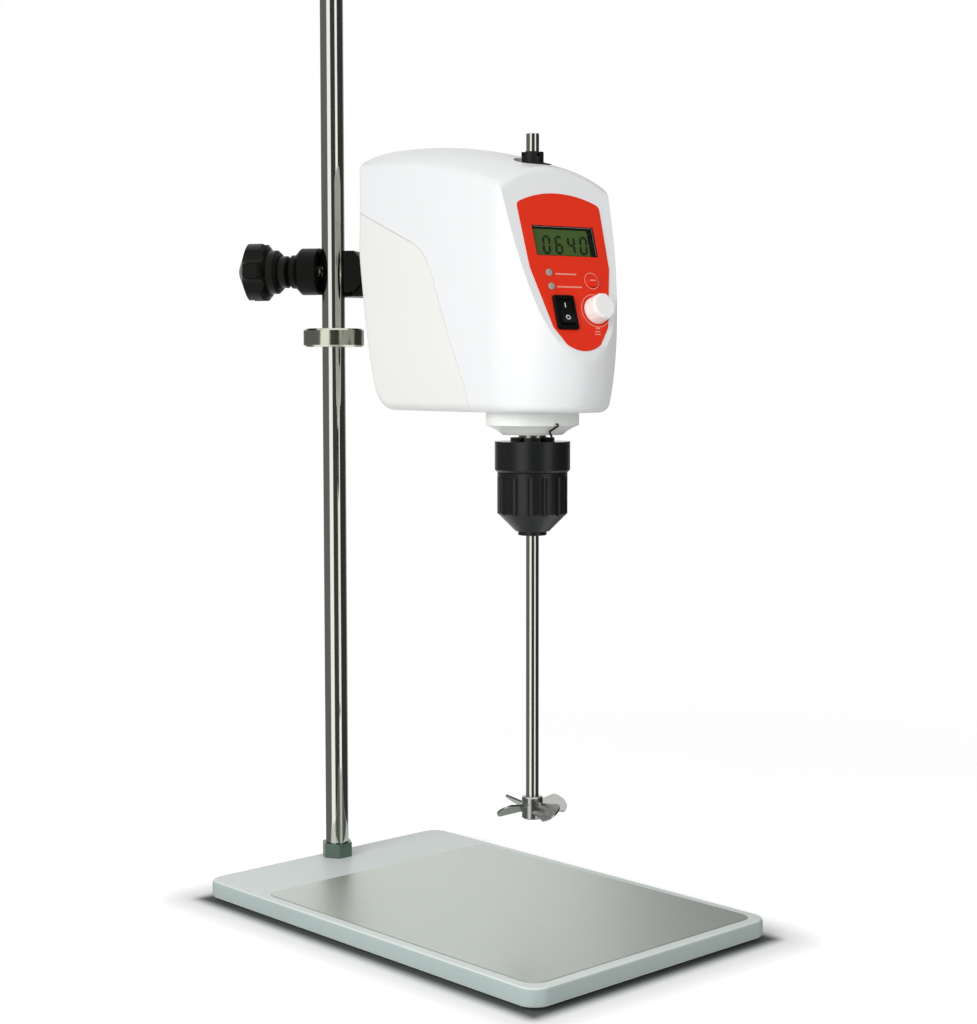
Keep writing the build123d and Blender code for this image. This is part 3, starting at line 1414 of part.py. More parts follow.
# Propeller: hub with four pitched blades that widen towards their rounded tips
with BuildPart() as propeller:
    for index in range(blade_count):
        spoke = Location((0, 0, shaft_end + hub_height / 2), (0, 0, 360 / blade_count * index))
        with BuildSketch(Plane(head * spoke * Location((0, 0, 0), (blade_pitch, 0, 0)))):
            with BuildLine():
                Polyline(
                    (shaft_diameter / 2 + running_fit, -blade_root / 2),
                    (shaft_diameter / 2 + running_fit, blade_root / 2),
                    (hub_diameter / 2 + 1, blade_root / 2),
                    (propeller_diameter * 0.4, blade_width / 2),
                )
                ThreePointArc(
                    (propeller_diameter * 0.4, blade_width / 2),
                    (propeller_diameter / 2, 0),
                    (propeller_diameter * 0.4, -blade_width / 2),
                )
                Polyline(
                    (propeller_diameter * 0.4, -blade_width / 2),
                    (hub_diameter / 2 + 1, -blade_root / 2),
                    (shaft_diameter / 2 + running_fit, -blade_root / 2),
                )
            make_face()
        extrude(amount=blade_thickness / 2, both=True)
    with BuildSketch(level(shaft_end)):
        Circle(hub_diameter / 2)
    extrude(amount=hub_height)
    hub_rims = propeller.edges().filter_by(GeomType.CIRCLE).group_by(Axis.Z)
    chamfer(hub_rims[0] + hub_rims[-1], hub_chamfer)
    with BuildSketch(level(shaft_end)):
        Circle(shaft_diameter / 2 + running_fit)
    extrude(amount=hub_height, mode=Mode.SUBTRACT)
    with BuildSketch(hub_side):
        Circle(hub_screw_diameter / 2)
    extrude(amount=hub_diameter, mode=Mode.SUBTRACT)
propeller.part.label = "propeller"
export_step(propeller.part, "parts/propeller.step")

# Set screw of the propeller's hub
with BuildPart() as propeller_screw:
    with BuildSketch(hub_side.offset(shaft_diameter / 2 + face_gap)):
        Circle(hub_screw_diameter / 2 - running_fit)
    extrude(amount=(hub_diameter - shaft_diameter) / 2 - 3 * face_gap)
propeller_screw.part.label = "propeller_screw"
export_step(propeller_screw.part, "parts/propeller_screw.step")
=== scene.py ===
"""Laboratory overhead stirrer on a plate stand: finishes, printed details, studio and camera."""

import logging
from collections.abc import Iterator
from contextlib import contextmanager
from dataclasses import dataclass, field
from enum import Enum
from math import cos, radians, sin
from typing import ClassVar

import bpy
from mathutils import Matrix, Vector


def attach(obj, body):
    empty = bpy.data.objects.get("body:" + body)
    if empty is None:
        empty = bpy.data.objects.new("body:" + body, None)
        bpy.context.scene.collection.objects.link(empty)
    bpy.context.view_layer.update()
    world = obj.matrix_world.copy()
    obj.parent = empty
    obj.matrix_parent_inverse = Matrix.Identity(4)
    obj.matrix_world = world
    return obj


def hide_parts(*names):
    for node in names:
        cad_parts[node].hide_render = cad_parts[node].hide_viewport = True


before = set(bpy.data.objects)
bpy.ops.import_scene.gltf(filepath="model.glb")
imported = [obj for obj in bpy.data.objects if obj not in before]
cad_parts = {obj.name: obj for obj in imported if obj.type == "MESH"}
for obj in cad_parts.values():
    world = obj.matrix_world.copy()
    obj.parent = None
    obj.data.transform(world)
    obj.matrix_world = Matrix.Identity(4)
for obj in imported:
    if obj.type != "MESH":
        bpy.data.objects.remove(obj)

LOG = logging.getLogger("stirrer")
MM = 0.001

Colour = tuple[float, float, float]
Point = tuple[float, float, float]
Relief = tuple[float, float]
Piece = bpy.types.Object
Node = bpy.types.Node
Tree = bpy.types.NodeTree
Socket = str | int


def paint_chip(red: int, green: int, blue: int) -> Colour:
    """Turns a colour as a screen shows it into the linear values that a shader takes.

    Args:
        red: Red from 0 to 255.
        green: Green from 0 to 255.
        blue: Blue from 0 to 255.

    Returns:
        The same colour as three linear numbers.
    """

    def straighten(level: int) -> float:
        """Turns one channel into its linear value.

        Args:
            level: Level of the channel from 0 to 255.

        Returns:
            The linear value from 0 to 1.
        """
        value = level / 255
        return value / 12.92 if value <= 0.04045 else ((value + 0.055) / 1.055) ** 2.4

    return straighten(red), straighten(green), straighten(blue)


class Grain(Enum):
    """Direction in which the fine lines of a worked metal run."""

    ALONG_Y = (2600.0, 30.0, 2600.0)
    ROUND_Z = (1.0, 1.0, 5200.0)
    NONE = (900.0, 900.0, 900.0)


class Graph:
    """Small helper that adds and joins shader nodes in one tree."""

    def __init__(self, tree: Tree) -> None:
        """Keeps the tree to work in.

        Args:
            tree: Node tree of a material, a world or a node group.
        """
        self.tree = tree
        self.enter: Node | None = None
        self.leave: Node | None = None

    @classmethod
    def open_material(cls, name: str) -> tuple[bpy.types.Material, "Graph", Node]:
        """Makes a material with nodes.

        Args:
            name: Name of the material.

        Returns:
            The material, its graph and its Principled shader.
        """
        material = bpy.data.materials.new(name)
        material.use_nodes = True
        graph = cls(material.node_tree)
        return material, graph, material.node_tree.nodes["Principled BSDF"]

    @staticmethod
    def fill(node: Node, values: dict[Socket, object]) -> None:
        """Sets constants on a node's own sockets.

        Args:
            node: The node.
            values: Value of each input, by its name or number.
        """
        for socket, value in values.items():
            node.inputs[socket].default_value = value

    def node(self, kind: str, values: dict[Socket, object] | None = None, **settings: object) -> Node:
        """Adds a node and sets its inputs and properties.

        Args:
            kind: Blender's name of the node type, without its ShaderNode.
            values: Value of each input that is a constant.
            **settings: Properties of the node and their values.

        Returns:
            The new node.
        """
        made = self.tree.nodes.new("ShaderNode" + kind)
        for name, value in settings.items():
            setattr(made, name, value)
        self.fill(made, values or {})
        return made

    def wire(self, source: Node, out: Socket, target: Node, into: Socket) -> None:
        """Links an output of one node to an input of another.

        Args:
            source: Node that gives.
            out: Name or number of its output.
            target: Node that takes.
            into: Name or number of its input.
        """
        self.tree.links.new(source.outputs[out], target.inputs[into])


class Effects:
    """Shader node groups that several finishes share."""

    groups: dict[str, Tree] = {}

    @classmethod
    def start(
        cls, name: str, inputs: list[tuple[str, str, object]], outputs: list[tuple[str, str]]
    ) -> Graph:
        """Opens a new group with its named sockets.

        Args:
            name: Name of the group.
            inputs: Name, socket type and default value of each input.
            outputs: Name and socket type of each output.

        Returns:
            A graph on the group's tree, with its input and output nodes in it.
        """
        tree = bpy.data.node_groups.new(name, "ShaderNodeTree")
        for label, kind, value in inputs:
            socket = tree.interface.new_socket(name=label, in_out="INPUT", socket_type=kind)
            socket.default_value = value
        for label, kind in outputs:
            tree.interface.new_socket(name=label, in_out="OUTPUT", socket_type=kind)
        graph = Graph(tree)
        graph.enter = tree.nodes.new("NodeGroupInput")
        graph.leave = tree.nodes.new("NodeGroupOutput")
        cls.groups[name] = tree
        return graph

    @staticmethod
    def swing_roughness(graph: Graph, noise: Node) -> None:
        """Lets a noise swing a group's roughness either way, by its spread.

        Args:
            graph: Graph of the group.
            noise: The noise.
        """
        centre = graph.node("Math", {1: 0.5}, operation="SUBTRACT")
        swing = graph.node("Math", operation="MULTIPLY")
        total = graph.node("Math", operation="ADD", use_clamp=True)
        graph.wire(noise, "Fac", centre, 0)
        graph.wire(centre, 0, swing, 0)
        graph.wire(graph.enter, "Spread", swing, 1)
        graph.wire(swing, 0, total, 0)
        graph.wire(graph.enter, "Roughness", total, 1)
        graph.wire(total, 0, graph.leave, "Roughness")

    @classmethod
    def build_tone_drift(cls) -> None:
        """Slow drift between two tones over a surface."""
        graph = cls.start(
            "tone_drift",
            [
                ("Tone", "NodeSocketColor", (0.8, 0.8, 0.8, 1.0)),
                ("Other Tone", "NodeSocketColor", (0.7, 0.7, 0.7, 1.0)),
                ("Scale", "NodeSocketFloat", 14.0),
            ],
            [("Colour", "NodeSocketColor")],
        )
        place = graph.node("TexCoord")
        noise = graph.node("TexNoise", {"Detail": 3.0, "Roughness": 0.55})
        spread = graph.node("MapRange", {"From Min": 0.32, "From Max": 0.68})
        mix = graph.node("Mix", data_type="RGBA")
        graph.wire(place, "Object", noise, "Vector")
        graph.wire(graph.enter, "Scale", noise, "Scale")
        graph.wire(noise, "Fac", spread, "Value")
        graph.wire(spread, "Result", mix, "Factor")
        graph.wire(graph.enter, "Tone", mix, "A")
        graph.wire(graph.enter, "Other Tone", mix, "B")
        graph.wire(mix, "Result", graph.leave, "Colour")

    @classmethod
    def build_skin_grain(cls) -> None:
        """Fine pebbled skin of moulded plastic, cast metal or sprayed paint."""
        graph = cls.start(
            "skin_grain",
            [
                ("Scale", "NodeSocketFloat", 900.0),
                ("Roughness", "NodeSocketFloat", 0.4),
                ("Spread", "NodeSocketFloat", 0.08),
            ],
            [("Height", "NodeSocketFloat"), ("Roughness", "NodeSocketFloat")],
        )
        place = graph.node("TexCoord")
        fine = graph.node("TexNoise", {"Detail": 2.0})
        wide = graph.node("TexNoise", {"Scale": 26.0, "Detail": 4.0})
        graph.wire(place, "Object", fine, "Vector")
        graph.wire(place, "Object", wide, "Vector")
        graph.wire(graph.enter, "Scale", fine, "Scale")
        graph.wire(fine, "Fac", graph.leave, "Height")
        cls.swing_roughness(graph, wide)

    @classmethod
    def build_work_lines(cls) -> None:
        """Fine lines that brushing, grinding or turning leaves in metal."""
        graph = cls.start(
            "work_lines",
            [
                ("Tone", "NodeSocketColor", (0.6, 0.6, 0.6, 1.0)),
                ("Line Tone", "NodeSocketColor", (0.5, 0.5, 0.5, 1.0)),
                ("Stretch", "NodeSocketVector", (30.0, 2600.0, 2600.0)),
                ("Roughness", "NodeSocketFloat", 0.3),
                ("Spread", "NodeSocketFloat", 0.15),
            ],
            [("Colour", "NodeSocketColor"), ("Height", "NodeSocketFloat"), ("Roughness", "NodeSocketFloat")],
        )
        place = graph.node("TexCoord")
        stretch = graph.node("VectorMath", operation="MULTIPLY")
        lines = graph.node("TexNoise", {"Scale": 1.0, "Detail": 4.0, "Roughness": 0.7})
        mix = graph.node("Mix", data_type="RGBA")
        graph.wire(place, "Object", stretch, 0)
        graph.wire(graph.enter, "Stretch", stretch, 1)
        graph.wire(stretch, "Vector", lines, "Vector")
        graph.wire(lines, "Fac", mix, "Factor")
        graph.wire(graph.enter, "Tone", mix, "A")
        graph.wire(graph.enter, "Line Tone", mix, "B")
        graph.wire(mix, "Result", graph.leave, "Colour")
        graph.wire(lines, "Fac", graph.leave, "Height")
        cls.swing_roughness(graph, lines)

    @classmethod
    def build_all(cls) -> None:
        """Builds every shared group once."""
        cls.build_tone_drift()
        cls.build_skin_grain()
        cls.build_work_lines()

    @classmethod
    def use(cls, graph: Graph, name: str, **values: object) -> Node:
        """Places a shared group in a material.

        Args:
            graph: Graph of the material.
            name: Name of the group.
            **values: Input values, with underscores for spaces in their names.

        Returns:
            The group's node.
        """
        made = graph.node("Group", node_tree=cls.groups[name])
        graph.fill(made, {label.replace("_", " "): value for label, value in values.items()})
        return made


@dataclass(frozen=True)
class Finish:
    """A surface finish: its name, its colour as a screen shows it and its roughness."""

    name: str
    chip: tuple[int, int, int]
    roughness: float

    def shade(self, amount: float = 1.0) -> tuple[float, float, float, float]:
        """Turns the colour into a linear one, made darker if wished.

        Args:
            amount: Share of the colour that stays.

        Returns:
            The linear colour with full cover.
        """
        return (*(min(1.0, channel * amount) for channel in paint_chip(*self.chip)), 1.0)

    def start(self) -> tuple[bpy.types.Material, Graph, Node]:
        """Makes the finish's material with its constants.

        Returns:
            The material, its graph and its Principled shader.
        """
        material, graph, shader = Graph.open_material(self.name)
        graph.fill(shader, {"Base Color": self.shade(), "Roughness": self.roughness})
        return material, graph, shader

    @staticmethod
    def feed(graph: Graph, shader: Node, tone: Node, skin: Node, relief: Relief) -> None:
        """Feeds colour, gloss and fine relief to a shader.

        Args:
            graph: Graph of the material.
            shader: Its shader.
            tone: Group that gives the colour.
            skin: Group that gives the roughness and the height.
            relief: Strength and depth of the relief.
        """
        bump = graph.node("Bump", {"Strength": relief[0], "Distance": relief[1]})
        graph.wire(tone, "Colour", shader, "Base Color")
        graph.wire(skin, "Roughness", shader, "Roughness")
        graph.wire(skin, "Height", bump, "Height")
        graph.wire(bump, "Normal", shader, "Normal")

    def material(self) -> bpy.types.Material:
        """Builds the finish; each kind of finish has its own way.

        Returns:
            The material.
        """
        raise NotImplementedError


@dataclass(frozen=True)
class Coating(Finish):
    """Moulded plastic, sprayed enamel or cast metal under paint, with a fine skin."""

    grain_scale: float = 900.0
    grain_depth: float = 0.00002
    bump: float = 0.25
    drift: float = 0.96
    spread: float = 0.08
    coat: float = 0.0
    coat_roughness: float = 0.15
    sheen_level: float = 0.5

    def material(self) -> bpy.types.Material:
        """Builds the coated or moulded surface.

        Returns:
            The material.
        """
        material, graph, shader = self.start()
        tone = Effects.use(graph, "tone_drift", Tone=self.shade(), Other_Tone=self.shade(self.drift))
        skin = Effects.use(
            graph, "skin_grain", Scale=self.grain_scale, Roughness=self.roughness, Spread=self.spread
        )
        self.feed(graph, shader, tone, skin, (self.bump, self.grain_depth))
        coat = {"Coat Weight": self.coat, "Coat Roughness": self.coat_roughness}
        graph.fill(shader, coat | {"Specular IOR Level": self.sheen_level})
        return material


@dataclass(frozen=True)
class WorkedMetal(Finish):
    """Bare metal with the fine lines of the tool that made it."""

    line_tone: float = 0.85
    grain: Grain = Grain.ROUND_Z
    line_depth: float = 0.000004
    bump: float = 0.15
    spread: float = 0.12

    def material(self) -> bpy.types.Material:
        """Builds the bare metal.

        Returns:
            The material.
        """
        material, graph, shader = self.start()
        lines = Effects.use(
            graph,
            "work_lines",
            Tone=self.shade(),
            Line_Tone=self.shade(self.line_tone),
            Stretch=self.grain.value,
            Roughness=self.roughness,
            Spread=self.spread,
        )
        self.feed(graph, shader, lines, lines, (self.bump, self.line_depth))
        graph.fill(shader, {"Metallic": 1.0})
        return material


@dataclass(frozen=True)
class ClearPane(Finish):
    """Clear window over the display."""

    wipe_scale: float = 300.0
    wipe_spread: float = 0.03
    cover: float = 0.08
    sheen_level: float = 0.3

    def material(self) -> bpy.types.Material:
        """Builds the clear pane, with faint wiping marks in its gloss.

        Returns:
            The material.
        """
        material, graph, shader = self.start()
        skin = Effects.use(
            graph,
            "skin_grain",
            Scale=self.wipe_scale,
            Roughness=self.roughness,
            Spread=self.wipe_spread,
        )
        graph.wire(skin, "Roughness", shader, "Roughness")
        graph.fill(shader, {"Alpha": self.cover, "Specular IOR Level": self.sheen_level})
        return material


class Finishes:
    """All finishes of the stirrer, each built once and kept by its name."""

    CHIPS: ClassVar[tuple[Finish, ...]] = (
        Coating("plate_enamel", (226, 234, 231), 0.42, grain_scale=700.0, bump=0.3, drift=0.97),
        # Painted shade: a darker copy of the plate's enamel for the plate's sides.
        Coating("plate_side_shade", (176, 190, 187), 0.45, grain_scale=700.0, bump=0.3, drift=0.96),
        WorkedMetal("brushed_sheet", (204, 212, 203), 0.38, line_tone=0.88, grain=Grain.ALONG_Y),
        Coating("foot_rubber", (38, 38, 38), 0.8, grain_scale=1500.0, bump=0.5, drift=0.8),
        WorkedMetal("polished_rod", (236, 236, 228), 0.07, line_tone=0.97, spread=0.03, bump=0.03),
        WorkedMetal("turned_steel", (196, 196, 190), 0.26, line_tone=0.85),
        WorkedMetal(
            "blade_steel", (198, 200, 196), 0.26,
            line_tone=0.98, grain=Grain.NONE, bump=0.0, spread=0.04,
        ),
        WorkedMetal("ring_steel", (224, 225, 206), 0.16, line_tone=0.92, spread=0.05),
        WorkedMetal("plated_nut", (124, 142, 132), 0.34, line_tone=0.85, grain=Grain.NONE),
        WorkedMetal("bearing_steel", (205, 206, 205), 0.18, line_tone=0.92),
        Coating("clamp_black", (9, 10, 7), 0.4, grain_scale=1100.0, bump=0.5, drift=0.85, sheen_level=0.13),
        Coating("knob_black", (10, 11, 7), 0.32, grain_scale=1600.0, bump=0.3, drift=0.9, sheen_level=0.17),
        Coating("housing_white", (240, 241, 242), 0.36, grain_scale=1500.0, bump=0.1, drift=0.99),
        Coating("cover_white", (239, 239, 236), 0.40, grain_scale=1500.0, bump=0.14, drift=0.99),
        Coating("cone_white", (238, 240, 236), 0.36, grain_scale=1500.0, bump=0.1, drift=0.99),
        WorkedMetal("frame_alloy", (186, 188, 190), 0.5, line_tone=0.9, grain=Grain.NONE, spread=0.2),
        Coating("seal_rubber", (20, 21, 21), 0.55, grain_scale=1500.0, bump=0.3, drift=0.8),
        Coating("motor_shell", (70, 72, 76), 0.45, grain_scale=900.0, drift=0.9),
        WorkedMetal("winding_copper", (190, 110, 60), 0.35, line_tone=0.6),
        WorkedMetal("pulley_alloy", (200, 202, 204), 0.3, line_tone=0.85),
        Coating("belt_rubber", (34, 34, 36), 0.7, grain_scale=1200.0, bump=0.4, drift=0.8),
        Coating("board_green", (30, 110, 60), 0.4, grain_scale=400.0, drift=0.8, coat=0.3),
        Coating("panel_red", (236, 50, 22), 0.4, grain_scale=2200.0, bump=0.1, drift=0.97, sheen_level=0.22),
        Coating(
            "display_back", (82, 108, 52), 0.5,
            grain_scale=1800.0, bump=0.05, drift=0.94, sheen_level=0.1,
        ),
        Coating("display_ink", (24, 40, 16), 0.5, grain_scale=1800.0, bump=0.0, drift=0.9, sheen_level=0.1),
        # Painted shade: black for the shade along the display window's inner edges and on the pane's cut
        # edge.
        Coating("edge_shade_black", (12, 13, 10), 0.5, grain_scale=1800.0, bump=0.05, drift=0.9, sheen_level=0.04),
        Coating("print_pale", (242, 158, 140), 0.45, grain_scale=2200.0, bump=0.05, drift=0.96),
        Coating("lamp_clear", (176, 176, 166), 0.16, grain_scale=900.0, bump=0.05, drift=0.75, coat=0.6),
        Coating("switch_black", (10, 11, 9), 0.36, grain_scale=1600.0, bump=0.2, drift=0.9, sheen_level=0.16),
        Coating("mark_white", (214, 218, 218), 0.45, grain_scale=1800.0, bump=0.05, drift=0.95),
        Coating("dial_white", (250, 249, 246), 0.42, grain_scale=1500.0, bump=0.1, drift=0.99),
        Coating("gland_black", (22, 22, 22), 0.45, grain_scale=1300.0, bump=0.3, drift=0.85),
        Coating("chuck_black", (24, 27, 25), 0.34, grain_scale=1500.0, bump=0.35, drift=0.9),
        Coating("wire_black", (24, 26, 22), 0.35, grain_scale=1500.0, bump=0.1, drift=0.9),
        ClearPane("clear_pane", (60, 70, 62), 0.04),
    )

    def __init__(self) -> None:
        """Builds the shared groups and then every finish."""
        Effects.build_all()
        self.built: dict[str, bpy.types.Material] = {chip.name: chip.material() for chip in self.CHIPS}

    def put_on_sides(self, piece: Piece, name: str, axis: Vector, spread: float) -> None:
        """Gives a second material to the faces that run along an axis; here it paints shade on them.

        Args:
            piece: Mesh that has its first finish.
            name: Name of the second finish.
            axis: Direction that the piece's main faces look in.
            spread: Faces whose normal leans less than this share towards the axis are sides.
        """
        piece.data.materials.append(self.built[name])
        side = len(piece.data.materials) - 1
        for polygon in piece.data.polygons:
            if abs(polygon.normal.dot(axis)) < spread:
                polygon.material_index = side

    def put(self, piece: Piece, name: str) -> None:
        """Gives a piece one finish all over.

        Args:
            piece: Mesh to dress.
            name: Name of the finish.
        """
        if not piece.data.materials:
            piece.data.materials.append(self.built[name])
        for index in range(len(piece.data.materials)):
            piece.data.materials[index] = self.built[name]


class Bench:
    """Workbench: the hand operations that the sub-assemblies share."""

    MERGE_REACH: ClassVar[float] = 0.000002
    MIDDLE_REACH: ClassVar[float] = 1e-7
    BAR_CORNERS: ClassVar[int] = 24

    @staticmethod
    def clear() -> None:
        """Leaves nothing selected and nothing active."""
        bpy.ops.object.select_all(action="DESELECT")
        bpy.context.view_layer.objects.active = None

    @classmethod
    def hold(cls, piece: Piece) -> None:
        """Selects one piece alone and makes it active.

        Args:
            piece: The piece to work on.
        """
        cls.clear()
        piece.select_set(True)
        bpy.context.view_layer.objects.active = piece

    @classmethod
    @contextmanager
    def editing(cls, piece: Piece, mode: str = "VERT") -> Iterator[None]:
        """Opens a piece in edit mode with all of it selected, and closes it again.

        Args:
            piece: The piece to edit.
            mode: What is selected: VERT, EDGE or FACE.

        Yields:
            Nothing; the edit operations run inside.
        """
        cls.hold(piece)
        bpy.ops.object.mode_set(mode="EDIT")
        bpy.ops.mesh.select_mode(type=mode)
        bpy.ops.mesh.select_all(action="SELECT")
        yield
        bpy.ops.object.mode_set(mode="OBJECT")

    @classmethod
    def merged_copy(cls, node: str, angle: float) -> Piece:
        """Copies a CAD node, merges its loose triangles and shades it smoothly.

        Args:
            node: Name of the CAD node.
            angle: Edges sharper than this many degrees stay sharp.

        Returns:
            The copy, which stands for the node.
        """
        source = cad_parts[node]
        piece = bpy.data.objects.new(node + "_skin", source.data.copy())
        bpy.context.scene.collection.objects.link(piece)
        with cls.editing(piece):
            bpy.ops.mesh.remove_doubles(threshold=cls.MERGE_REACH)
        if piece.data.has_custom_normals:
            bpy.ops.mesh.customdata_custom_splitnormals_clear()
        bpy.ops.object.shade_smooth_by_angle(angle=radians(angle))
        weigh = piece.modifiers.new("even_shading", "WEIGHTED_NORMAL")
        weigh.keep_sharp = True
        bpy.ops.object.modifier_apply(modifier=weigh.name)
        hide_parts(node)
        return piece

    @classmethod
    def flat_disc(cls, name: str, radius: float, corners: int) -> Piece:
        """Adds a filled flat disc at the origin, ready to be shaped.

        Args:
            name: Name of the piece.
            radius: Radius in metres.
            corners: How many corners its rim has.

        Returns:
            The disc.
        """
        cls.clear()
        bpy.ops.mesh.primitive_circle_add(vertices=corners, radius=radius, fill_type="NGON")
        piece = bpy.context.active_object
        piece.name = name
        piece.data.name = name
        return piece

    @classmethod
    def thicken(cls, piece: Piece, height: float) -> None:
        """Extrudes all faces of a flat piece upwards into a closed plate.

        Args:
            piece: Flat mesh in its own XY plane.
            height: Thickness in metres.
        """
        with cls.editing(piece):
            bpy.ops.mesh.extrude_region_move(TRANSFORM_OT_translate={"value": (0, 0, height)})
            bpy.ops.mesh.select_all(action="SELECT")
            bpy.ops.mesh.normals_make_consistent(inside=False)

    @classmethod
    def ring(cls, name: str, radius: float, width: float, height: float, corners: int = 72) -> Piece:
        """Models a thin flat ring from a disc by inset and a deleted middle.

        Args:
            name: Name of the piece.
            radius: Outer radius in metres.
            width: Width of the ring in metres.
            height: Thickness in metres.
            corners: How many corners the rim has.

        Returns:
            The ring, in its own XY plane.
        """
        piece = cls.flat_disc(name, radius, corners)
        with cls.editing(piece, "FACE"):
            bpy.ops.mesh.inset(thickness=width, depth=0)
            bpy.ops.mesh.delete(type="FACE")
        cls.thicken(piece, height)
        return piece

    @classmethod
    def bar(cls, name: str, length: float, width: float, height: float) -> Piece:
        """Models a thin bar along X with rounded ends from a small disc.

        Args:
            name: Name of the piece.
            length: Length over the ends in metres.
            width: Width in metres.
            height: Thickness in metres.

        Returns:
            The bar, in its own XY plane.
        """
        piece = cls.flat_disc(name, width / 2, cls.BAR_CORNERS)
        half = (length - width) / 2
        for vertex in piece.data.vertices:
            if abs(vertex.co.x) > cls.MIDDLE_REACH:
                vertex.co.x += half if vertex.co.x > 0 else -half
        piece.data.update()
        cls.thicken(piece, height)
        return piece

    @classmethod
    def settle(cls, piece: Piece, place: Matrix) -> None:
        """Moves a piece's mesh to its place and leaves the object at the origin.

        Args:
            piece: Finished piece at the origin.
            place: Where its own axes go.
        """
        cls.hold(piece)
        piece.matrix_world = place
        bpy.ops.object.transform_apply(location=True, rotation=True, scale=True)

    @classmethod
    def join(cls, pieces: list[Piece], name: str) -> Piece:
        """Joins several meshes into one.

        Args:
            pieces: Meshes to join.
            name: Name of the joined piece.

        Returns:
            The joined piece.
        """
        cls.clear()
        for piece in pieces:
            piece.select_set(True)
        bpy.context.view_layer.objects.active = pieces[0]
        bpy.ops.object.join()
        pieces[0].name = name
        pieces[0].data.name = name
        return pieces[0]


def facing(away: Vector) -> Matrix:
    """Turns a thing's back to a direction, upright.

    Args:
        away: Direction that its own Z axis takes.

    Returns:
        The turn.
    """
    return away.to_track_quat("Z", "Y").to_matrix().to_4x4()


def report(piece: Piece, body: str) -> None:
    """Lets a finished piece ride on its body and logs it.

    Args:
        piece: Finished piece.
        body: Body of the moving model that carries it.
    """
    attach(piece, body)
    LOG.info("%s rides on %s with %d faces", piece.name, body, len(piece.data.polygons))


@dataclass(frozen=True)
class Skin:
    """How one CAD node is dressed; edges sharper than the angle in degrees stay sharp.

    A finish that has a slot of its own name needs no slot here.
    """

    node: str
    body: str
    finish: str
    slot: str = ""
    angle: float = 30.0


@dataclass
class SubAssembly:
    """Group of CAD nodes that are dressed one after another."""

    SKINS: ClassVar[tuple[Skin, ...]] = ()
    finishes: Finishes

    def dress_sides(self, piece: Piece, node: str) -> None:
        """Gives some nodes a second finish on their sides; most have none.

        Args:
            piece: The dressed copy.
            node: Name of its CAD node.
        """

    def build(self) -> None:
        """Copies, dresses and reports every node of the group."""
        for skin in self.SKINS:
            piece = Bench.merged_copy(skin.node, skin.angle)
            self.finishes.put(piece, skin.finish)
            self.dress_sides(piece, skin.node)
            report(piece, skin.body)


@dataclass
class HeadPlace:
    """Where the stirrer's head and its panel stand, in millimetres and degrees."""

    spindle_x: float = -5.1854
    spindle_y: float = -83.7139
    arm_height: float = 422.0
    swing: float = 10.0
    panel_lean: float = 18.0
    panel_y: float = -26.8
    panel_z: float = 29.4
    panel_face: float = 0.3

    def head(self) -> Matrix:
        """Finds the head's own axes, on the spindle at the arm's height.

        Returns:
            The place as a matrix in metres.
        """
        spot = Matrix.Translation(Vector((self.spindle_x, self.spindle_y, self.arm_height)) * MM)
        return spot @ Matrix.Rotation(radians(-self.swing), 4, "Z")

    def panel(self, across: float = 0.0, up: float = 0.0, out: float = 0.0) -> Matrix:
        """Place on the panel, with X across it, Y up it and Z out of it.

        Args:
            across: Distance to the right of the panel's middle line.
            up: Distance above the panel's origin.
            out: Distance out of the facet.

        Returns:
            The place as a matrix in metres.
        """
        lean = radians(self.panel_lean)
        origin = Matrix.Translation(Vector((0, self.panel_y, self.panel_z)) * MM)
        upright = Matrix.Rotation(radians(90) - lean, 4, "X")
        shift = Matrix.Translation(Vector((across, up, out)) * MM)
        return self.head() @ origin @ upright @ shift


@dataclass
class PlateStand(SubAssembly):
    """Stand plate with its sheet, feet and lock nut."""

    SKINS: ClassVar[tuple[Skin, ...]] = (
        Skin("base_plate", "stand", "plate_enamel", "plate_paint", 35.0),
        Skin("steel_inlay", "stand", "brushed_sheet", "inlay_steel", 35.0),
        Skin("rubber_feet", "stand", "foot_rubber", angle=40.0),
        Skin("foot_screws", "stand", "turned_steel", "satin_steel", 40.0),
        Skin("rod_nut", "stand", "plated_nut", "satin_steel"),
    )
    SIDE_SHARE: ClassVar[float] = 0.6

    def dress_sides(self, piece: Piece, node: str) -> None:
        """Paints shade on the rim of the plate: its sides get a darker copy of the enamel than its top.

        Args:
            piece: The dressed copy.
            node: Name of its CAD node.
        """
        if node == "base_plate":
            self.finishes.put_on_sides(piece, "plate_side_shade", Vector((0, 0, 1)), self.SIDE_SHARE)


@dataclass
class Column(SubAssembly):
    """Rod of the stand with its stop ring."""

    SKINS: ClassVar[tuple[Skin, ...]] = (
        Skin("stand_rod", "column", "polished_rod", "bright_steel"),
        Skin("stop_ring", "stop_ring", "ring_steel", "satin_steel"),
        Skin("stop_ring_screw", "stop_ring", "wire_black", "satin_steel"),
    )


@dataclass
class BossClamp(SubAssembly):
    """Boss head with its two star knobs and the arm that it grips."""

    SKINS: ClassVar[tuple[Skin, ...]] = (
        Skin("clamp_body", "clamp", "clamp_black", "black_metal", 28.0),
        Skin("rod_star_knob", "rod_knob", "knob_black", "black_grip", 32.0),
        Skin("rod_clamp_screw", "rod_knob", "turned_steel", "satin_steel"),
        Skin("arm_star_knob", "arm_knob", "knob_black", "black_grip", 32.0),
        Skin("arm_clamp_screw", "arm_knob", "turned_steel", "satin_steel"),
        Skin("arm_rod", "arm", "polished_rod", "bright_steel"),
    )


